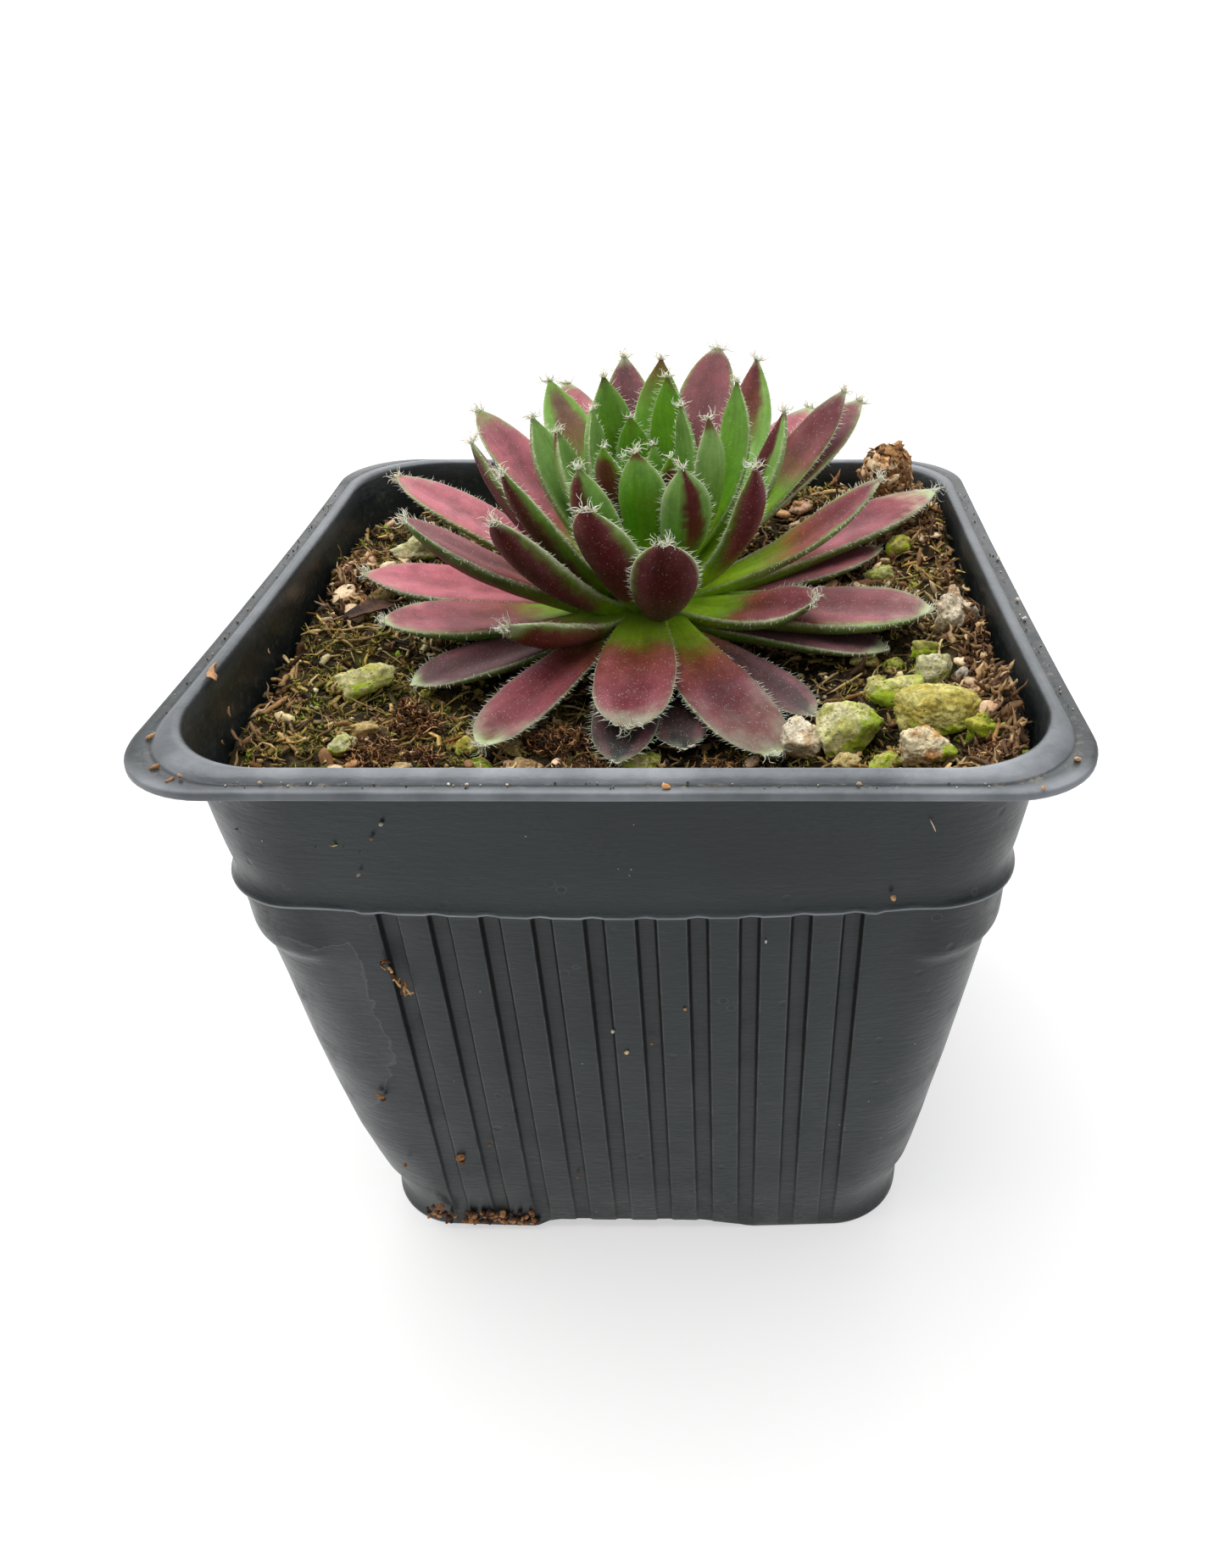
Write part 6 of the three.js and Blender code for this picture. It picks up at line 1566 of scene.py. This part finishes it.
    # sprigs of green moss
    rng = np.random.default_rng(505)
    heap = Heap()
    tufts, per_tuft = 1300, 6
    x, y = scatter(tufts, rng, 0.8, lambda x, y: np.clip(mossy(x, y) * 1.3 - 0.35, 0.02, 1))
    n = tufts * per_tuft
    tx, ty = np.repeat(x, per_tuft) + rng.normal(0, 0.22, n), np.repeat(y, per_tuft) + rng.normal(0, 0.22, n)
    az = rng.uniform(0, 2 * PI, n)
    el = rng.uniform(0.15, 1.35, n)
    d = np.stack([np.cos(az) * np.cos(el), np.sin(az) * np.cos(el), np.sin(el)], -1)
    L = rng.uniform(0.45, 1.25, n)
    path = np.stack([tx, ty, ground(tx, ty) + 0.25], -1)[:, None] + d[:, None] * (L[:, None] * np.array([-0.2, 0.4, 1.0]))[..., None]
    rad = rng.uniform(0.06, 0.13, (n, 1)) * np.array([[0, 1, 0]])
    v, tr, qd, per = tubes(path, rad, 3, rng)
    tuft = pick(rng, tufts, ["847630", "98903A", "B09C50", "5E5C24", "A08642", "8A9C2C"], [3, 3, 2.4, 3, 2.6, 1.8])
    c = np.repeat(np.repeat(tuft, per_tuft, 0) * rng.uniform(0.8, 1.2, (n, 1)), per, 0)
    heap.add(v, tr, qd, c)
    heap.piece("moss_sprigs", MOSS, "dry_moss")

    # springy clumps of red-brown peat fibre
    rng = np.random.default_rng(506)
    heap = Heap()
    clumps = [(-23.5, -18.0, 2.8, 2.4, 4.0, 480), (-26.4, -24.2, 3.6, 2.6, 2.4, 460), (-21.8, -24.8, 2.6, 2.0, 1.8, 230),
              (-8.0, -20.0, 4.2, 2.6, 2.6, 520), (-4.6, -24.0, 3.2, 2.0, 1.4, 190), (-37.0, -19.5, 2.0, 5.0, 0.8, 70),
              (37.8, 21.0, 2.0, 4.0, 1.2, 150), (36.6, -33.0, 2.8, 3.0, 1.4, 220), (20.0, -17.2, 3.0, 1.6, 1.0, 110),
              (10.0, -24.6, 4.6, 1.8, 1.0, 170), (-31.5, -33.5, 3.4, 2.8, 1.2, 190), (30.0, 36.0, 5.0, 3.0, 1.3, 230),
              (-36.4, 12.0, 2.6, 5.0, 1.3, 200), (39.0, -12.0, 1.6, 5.0, 1.4, 170)]
    for cx, cy, rx, ry, rz, n in clumps:
        n, m = int(n * 0.85), 6
        q = unit(rng.normal(size=(n, 3))) * rng.random((n, 1)) ** 0.45
        px, py = cx + q[:, 0] * rx, cy + q[:, 1] * ry
        ok = inside(px, py, 0) > 0.9
        px, py, q = px[ok], py[ok], q[ok]
        n2 = len(px)
        pz = ground(px, py) + 0.15 + np.abs(q[:, 2]) * rz
        L = rng.uniform(0.8, 2.5, n2)
        dirn = unit(rng.normal(size=(n2, 3)) * np.array([1, 1, 0.9]))
        u1 = unit(np.cross(dirn, rng.normal(size=(n2, 3))))
        u2 = np.cross(dirn, u1)
        f = np.linspace(-0.5, 0.5, m)
        amp, sp, ph = rng.uniform(0.1, 0.32, (n2, 1)), rng.uniform(4, 9, (n2, 1)), rng.uniform(0, 6, (n2, 1))
        path = (np.stack([px, py, pz], -1)[:, None] + dirn[:, None] * (L[:, None] * f)[..., None]
                + u1[:, None] * (amp * np.sin(sp * f + ph))[..., None] + u2[:, None] * (amp * np.cos(sp * f + ph))[..., None])
        keep = inside(path[..., 0], path[..., 1], 0).min(1) > 0.3
        path = path[keep]
        n2 = len(path)
        w = rng.uniform(0.05, 0.17, (n2, 1)) * np.sin(np.linspace(0.2, PI - 0.2, m))[None] ** 0.5
        v, tr, qd, per = tubes(path, w, 3, rng, flat=rng.uniform(0.5, 1, n2))
        c = pick(rng, n2, ["5E3C24", "865A36", "332014", "AE8254", "CFA878", "46301E"], [4, 4, 3, 3, 1.8, 3.4])
        heap.add(v, tr, qd, np.repeat(c, per, 0))
    heap.piece("peat_fibre_clumps", LITTER, "dry_moss")


def moss_clump():
    """Dry curled moss and bark standing over the rim at the back right."""
    rng = np.random.default_rng(601)
    heap = Heap()
    v, f = BALLS[4]
    r = 1 + 0.52 * fbm(v * 1.5 + 4, 3, 61) + 0.24 * fbm(v * 3.6, 3, 62)
    p = v * r[:, None]
    lo, hi = p.min(0), p.max(0)
    p = (p - (lo + hi) / 2) / (hi - lo) * np.array([7.2, 5.8, 8.4])
    a = math.radians(25)
    rot = np.array([[math.cos(a), -math.sin(a), 0], [math.sin(a), math.cos(a), 0], [0, 0, 1]])
    p = p @ rot.T + np.array([33.4, 32.8, 77.2])
    w = fbm(v * 3.0, 3, 63)
    col = mix(lin("8A6844"), lin("CBA67A"), smooth(-0.25, 0.35, w))
    col = mix(col, lin("2E1D10"), smooth(0.0, -0.30, fbm(v * 3.6, 3, 62)))
    heap.add(p, f, None, col)
    n, m = 380, 7
    q = unit(rng.normal(size=(n, 3)))
    q[:, 2] = np.where(q[:, 2] < -0.4, -q[:, 2], q[:, 2])
    c = q * np.array([3.4, 2.8, 4.1]) * rng.uniform(0.85, 1.08, (n, 1)) @ rot.T + np.array([33.4, 32.8, 77.2])
    d = unit(np.cross(q @ rot.T, rng.normal(size=(n, 3))) + 0.35 * q @ rot.T)
    L = rng.uniform(1.0, 3.4, n)
    k = np.linspace(-0.5, 0.5, m)
    u1 = unit(np.cross(d, rng.normal(size=(n, 3))))
    amp, sp, ph = rng.uniform(0.1, 0.4, (n, 1)), rng.uniform(2, 6, (n, 1)), rng.uniform(0, 6, (n, 1))
    path = c[:, None] + d[:, None] * (L[:, None] * k)[..., None] + u1[:, None] * (amp * np.sin(sp * k + ph))[..., None]
    w = rng.uniform(0.15, 0.62, (n, 1)) * np.sin(np.linspace(0.2, PI - 0.2, m))[None] ** 0.5
    tv, tr, qd, per = tubes(path, w, 4, rng, flat=rng.uniform(0.15, 0.45, n))
    cc = pick(rng, n, ["AE8458", "C8A072", "86603C", "DDBE98", "5E4228", "B88050"], [4, 4, 3, 2.6, 2, 2.4])
    heap.add(tv, tr, qd, np.repeat(cc, per, 0))
    # broad curled scales of bark on the outside
    n, m = 44, 9
    q = unit(rng.normal(size=(n, 3)) + np.array([0, -0.3, 0.5]))
    c = q * np.array([3.5, 2.9, 4.1]) @ rot.T + np.array([33.4, 32.8, 77.4])
    d = unit(np.cross(q @ rot.T, rng.normal(size=(n, 3))) + 0.30 * q @ rot.T)
    L = rng.uniform(2.0, 4.4, n)
    k = np.linspace(-0.5, 0.5, m)
    path = c[:, None] + d[:, None] * (L[:, None] * k)[..., None] - (q @ rot.T)[:, None] * (1.1 * (k ** 2) * 4 * rng.uniform(0.2, 1.0, (n, 1)))[..., None]
    w = rng.uniform(0.6, 1.25, (n, 1)) * np.sin(np.linspace(0.25, PI - 0.25, m))[None] ** 0.6 * rng.uniform(0.75, 1.2, (n, m))
    tv, tr, qd, per = tubes(path, w, 8, rng, flat=rng.uniform(0.14, 0.26, n), ref=np.repeat((q @ rot.T)[:, None], m, 1))
    tone = 1 + 0.4 * fbm(tv * 1.1, 3, 29)
    cc = pick(rng, n, ["C08A58", "D8AE80", "9A7044", "A8945A", "E4C8A0", "7A5634"], [4, 4, 3, 2, 2.6, 2])
    heap.add(tv, tr, qd, np.repeat(cc, per, 0) * tone[:, None])
    return heap.piece("moss_clump_skin", LITTER, "dry_moss", ["moss_clump"])


def dead_leaf():
    """A curled dark dead leaf lying by the left wall."""
    nt, na = 36, 16
    t = np.linspace(0.01, 0.99, nt)
    a = np.arange(na) * 2 * PI / na
    T, A = np.meshgrid(t, a, indexing="ij")
    half = 1.55 * np.sin(PI * (0.06 + 0.86 * T)) ** 0.7
    x = (T - 0.5) * 8.4
    curl = 0.45 * np.cos(A) ** 2
    y = half * np.cos(A) * (1 - 0.15 * np.sin(T * 9))
    z = 0.16 * np.sin(A) + half * curl * 0.55 + 0.55 * np.sin(T * 3.2) - 0.3
    P = np.stack([x, y, z], -1)
    P = P + 0.10 * np.stack([vnoise(P * 1.4, 1), vnoise(P * 1.4, 2), vnoise(P * 1.4, 3)], -1)
    r = math.radians(40)
    rot = np.array([[math.cos(r), -math.sin(r), 0], [math.sin(r), math.cos(r), 0], [0, 0, 1]])
    P = P @ rot.T + np.array([-33.4, 3.4, 70.4])
    v = np.concatenate([P.reshape(-1, 3), P[0].mean(0)[None], P[-1].mean(0)[None]])
    ids = np.arange(nt * na).reshape(nt, na)
    nx = np.roll(ids, -1, 1)
    quads = np.stack([ids[:-1], nx[:-1], nx[1:], ids[1:]], -1).reshape(-1, 4)
    tris = np.concatenate([np.stack([nx[0], ids[0], np.full(na, nt * na)], 1),
                           np.stack([ids[-1], nx[-1], np.full(na, nt * na + 1)], 1)])
    col = mix(lin("2A1C16"), lin("54392A"), smooth(-0.3, 0.4, fbm(v * 0.9, 3, 5)))
    return piece("dead_leaf_skin", v, [quads, tris], col, LITTER, ["dead_leaf"])


def crumbs_on_pot():
    """Bits of soil and bark that cling to the pot."""
    rng = np.random.default_rng(701)
    heap = Heap()

    def wall_y(x, z):
        half = wall_half(z) if z < 58.9 else collar_half(z)
        return -(half + float(BOW(z)) * (1 - min(1.0, abs(x) / half) ** 2))

    def blob(centre, size, code, n_dirt=2):
        bv, bf = BALLS[2 if size[0] > 0.75 else 1 if size[0] > 0.28 else 0]
        v = bv * (1 + 0.35 * fbm(bv * 1.8 + rng.random() * 50, 3, 7))[:, None] * np.array(size) / 2
        R = turns(1, rng)[0]
        v = v @ R.T
        v[:, 1] = np.maximum(v[:, 1], -size[1] * 0.5)
        tone = 1 + 0.35 * fbm(bv * 3, 2, 4)
        heap.add(v + np.array(centre), bf, None, lin(code)[None] * tone[:, None])

    def sliver(a, b, r, code, sag=0.0, flat=0.5, sides=6):
        a, b = np.array(a, float), np.array(b, float)
        s = np.linspace(0, 1, 9)
        path = a + (b - a) * s[:, None]
        side = unit(np.cross(b - a, np.array([0.3, 0.2, 1.0]))[None])[0]
        path = path + side * (sag * np.sin(PI * s))[:, None]
        w = r * np.sin(np.linspace(0.3, PI - 0.3, 9)) ** 0.6 * (1 + 0.2 * rng.normal(size=9).clip(-1, 1))
        v, tr, qd, per = tubes(path[None], w[None], sides, rng, flat=[flat])
        tone = 1 + 0.3 * fbm(v * 1.7, 2, 4)
        heap.add(v, tr, qd, lin(code)[None] * tone[:, None])
    # in the first flute: a ragged scrap of bark
    for k in range(26):
        f = rng.random()
        x = -24.1 + 1.9 * f + rng.normal(0, 0.22)
        z = 52.4 - 5.2 * f + rng.normal(0, 0.2)
        y = wall_y(x, z)
        dx, dz = rng.normal(0, 0.55), rng.normal(-0.3, 0.9)
        sliver((x - dx / 2, y - 0.05, z - dz / 2), (x + dx / 2, y - 0.35, z + dz / 2), rng.uniform(0.08, 0.26),
               ["A87B4C", "6B4426", "3A2414", "C49A66"][k % 4], 0.15)
    for x, z, s, code in ((-28.9, 29.1, 0.9, "7A5836"), (-28.6, 28.5, 0.6, "4A3320"), (-21.5, 16.9, 0.9, "8A5E38"),
                          (-21.4, 15.8, 0.8, "5A3A20"), (-28.5, 15.0, 0.5, "6A4A2C"), (-17.5, 19.8, 0.45, "6A4A2C"),
                          (26.6, 61.2, 0.7, "B98F66"), (-0.2, 37.9, 0.45, "C9B08A"), (-1.5, 41.5, 0.35, "C9C4B4"),
                          (6.3, 45.2, 0.4, "A98050"), (2.6, 39.4, 0.28, "8A5A34"), (-20.8, 70.7, 0.4, "9A968C"),
                          (-22.0, 69.0, 0.4, "6A5A48"), (-24.1, 64.4, 0.3, "8A8274"), (14.5, 55.4, 0.25, "D8D4C8"),
                          (-7.6, 12.8, 0.3, "7A5A3C")):
        blob((x, wall_y(x, z) - 0.08, z), (s, 0.45, s * rng.uniform(0.8, 1.4)), code)
    # soil along the foot at the front left
    for k in range(120):
        f = rng.random() ** 0.8
        x = -28.0 + 14.5 * f
        z = 1.6 + 2.6 * rng.random() ** 2 + (2.6 if x < -25.5 else 0) * rng.random()
        if -25.2 < x < -22.6 and rng.random() < 0.6:
            continue
        s = rng.uniform(0.25, 0.95)
        blob((x, wall_y(x, z) - 0.06, z), (s * 1.2, 0.5, s), ["4A3020", "7A5232", "A3744A", "2E1D12"][k % 4])
    sliver((28.9, wall_y(28.9, 71.3) - 0.08, 71.3), (29.7, wall_y(29.7, 69.6) - 0.08, 69.6), 0.06, "B7A592", 0.12, 1.0)
    # bits lying on the rim
    sliver((-41.3, -22.6, 76.75), (-40.1, -26.2, 76.7), 0.55, "B98C66", 0.6, 0.35, 8)
    sliver((-43.2, -36.2, 76.1), (-42.4, -35.1, 76.15), 0.20, "A98660", 0.1)
    sliver((-40.7, -41.4, 76.1), (-40.0, -40.6, 76.15), 0.26, "9A7450", 0.1)
    sliver((-38.5, -43.4, 76.1), (-37.9, -42.6, 76.1), 0.16, "8A6644", 0.05)
    for x, y, s, code in ((-37.4, -42.7, 0.5, "B08A62"), (37.9, -44.5, 0.4, "B98C62"), (5.3, -44.3, 0.8, "C8925C"),
                          (42.0, -39.9, 0.9, "BE9C7A"), (42.3, -20.0, 0.5, "CFC8BA"), (43.9, -6.0, 0.6, "CBC5B8"),
                          (44.1, 6.0, 0.5, "BDB6A8"), (43.6, -11.0, 0.7, "D0CABD"), (41.9, -27.0, 0.4, "B79A78"),
                          (-12.0, -44.0, 0.35, "CBB79A"), (22.0, -43.9, 0.35, "B9A68A"), (-30.0, -43.8, 0.4, "A99070")):
        blob((x, y, 76.25), (s, s * 0.7, 0.45), code)
    for k in range(150):
        q = rng.integers(0, 3)
        u = rng.uniform(-34, 34)
        w = rng.uniform(43.4, 44.4)
        x, y = ((w - 0.3, u), (-w + 0.5, u), (u, -w))[q]
        s = rng.uniform(0.10, 0.30)
        blob((x, y, 76.08), (s, s, s * 0.6), ["A39A8A", "6B5A48", "C4BCAC", "4A3A2A"][k % 4])
    # bits caught on the inside of the wall
    for x, y, z, s, r, code in ((-39.9, -25.4, 73.4, 0.9, 0.16, "9A7450"), (-39.2, -30.0, 72.2, 0.4, 0.12, "6A4A2C"),
                                (-39.9, -13.0, 73.6, 0.5, 0.10, "B08A62"), (39.6, -22.0, 75.4, 0.5, 0.08, "C49A70")):
        sliver((x, y, z), (x + 0.3, y - s, z - s * 0.9), r, code, 0.15)
    return heap.piece("pot_crumbs", LITTER, "potting_mix")


pot()
potting_mix()
leaves()
stem()
hairs()
grit()
litter()
moss_clump()
dead_leaf()
crumbs_on_pot()

# ---------------------------------------------------------------------------
# floor, light and camera
# ---------------------------------------------------------------------------
fm = bpy.data.meshes.new("floor")
S = 1.25
nf = 24
gs = np.linspace(-S, S, nf)
gx, gy = np.meshgrid(gs, gs, indexing="ij")
gv = np.stack([gx, gy, np.full_like(gx, -0.00002)], -1).reshape(-1, 3)
gi = np.arange(nf * nf).reshape(nf, nf)
gq = np.stack([gi[:-1, :-1], gi[1:, :-1], gi[1:, 1:], gi[:-1, 1:]], -1).reshape(-1, 4)
fm.from_pydata([tuple(map(float, r)) for r in gv], [], [tuple(map(int, r)) for r in gq])
fm.materials.append(floor_material())
floor = bpy.data.objects.new("floor", fm)
bpy.context.scene.collection.objects.link(floor)

world = bpy.data.worlds.new("studio")
bpy.context.scene.world = world
world.use_nodes = True
wt = world.node_tree
bg = wt.nodes["Background"]
where = wt.nodes.new("ShaderNodeTexCoord")
axes = wt.nodes.new("ShaderNodeSeparateXYZ")
wt.links.new(where.outputs["Generated"], axes.inputs[0])
back = wt.nodes.new("ShaderNodeMapRange")
back.interpolation_type = "SMOOTHSTEP"
wt.links.new(axes.outputs["Y"], back.inputs["Value"])
for key, value in (("From Min", -0.80), ("From Max", 0.45), ("To Min", 0.46), ("To Max", 1.10)):
    back.inputs[key].default_value = value
wt.links.new(back.outputs[0], bg.inputs["Strength"])
bg.inputs["Color"].default_value = (1.0, 1.0, 1.0, 1.0)


def area(name, place, aim, size, power, colour=(1, 1, 1)):
    d = bpy.data.lights.new(name, "AREA")
    d.shape = "RECTANGLE"
    d.size, d.size_y = size
    d.energy = power
    d.color = colour
    o = bpy.data.objects.new(name, d)
    o.location = place
    from mathutils import Vector
    o.rotation_euler = (Vector(aim) - Vector(place)).to_track_quat("-Z", "Y").to_euler()
    bpy.context.scene.collection.objects.link(o)
    return o


area("top", (-0.20, 0.05, 0.85), (0, 0, 0.07), (0.8, 0.8), 6.4, (1.0, 0.995, 0.98))
area("back", (0.10, 1.25, 0.72), (0, 0, 0.07), (1.6, 0.6), 4.5, (0.97, 0.985, 1.0))

cam = bpy.data.cameras.new("camera")
cam.sensor_width = 36.0
cam.sensor_fit = "AUTO"
cam.lens = 26.405
cam.shift_x = -0.0692
cam.clip_start = 0.005
cam.clip_end = 20.0
cam.dof.use_dof = False
camera = bpy.data.objects.new("camera", cam)
camera.location = (0.01005, -0.12693, 0.13169)
camera.rotation_euler = (math.radians(56.253), 0.0, 0.0)
bpy.context.scene.collection.objects.link(camera)
bpy.context.scene.camera = camera

bpy.context.scene.view_settings.view_transform = "Standard"
bpy.context.scene.view_settings.look = "None"

bpy.context.view_layer.update()
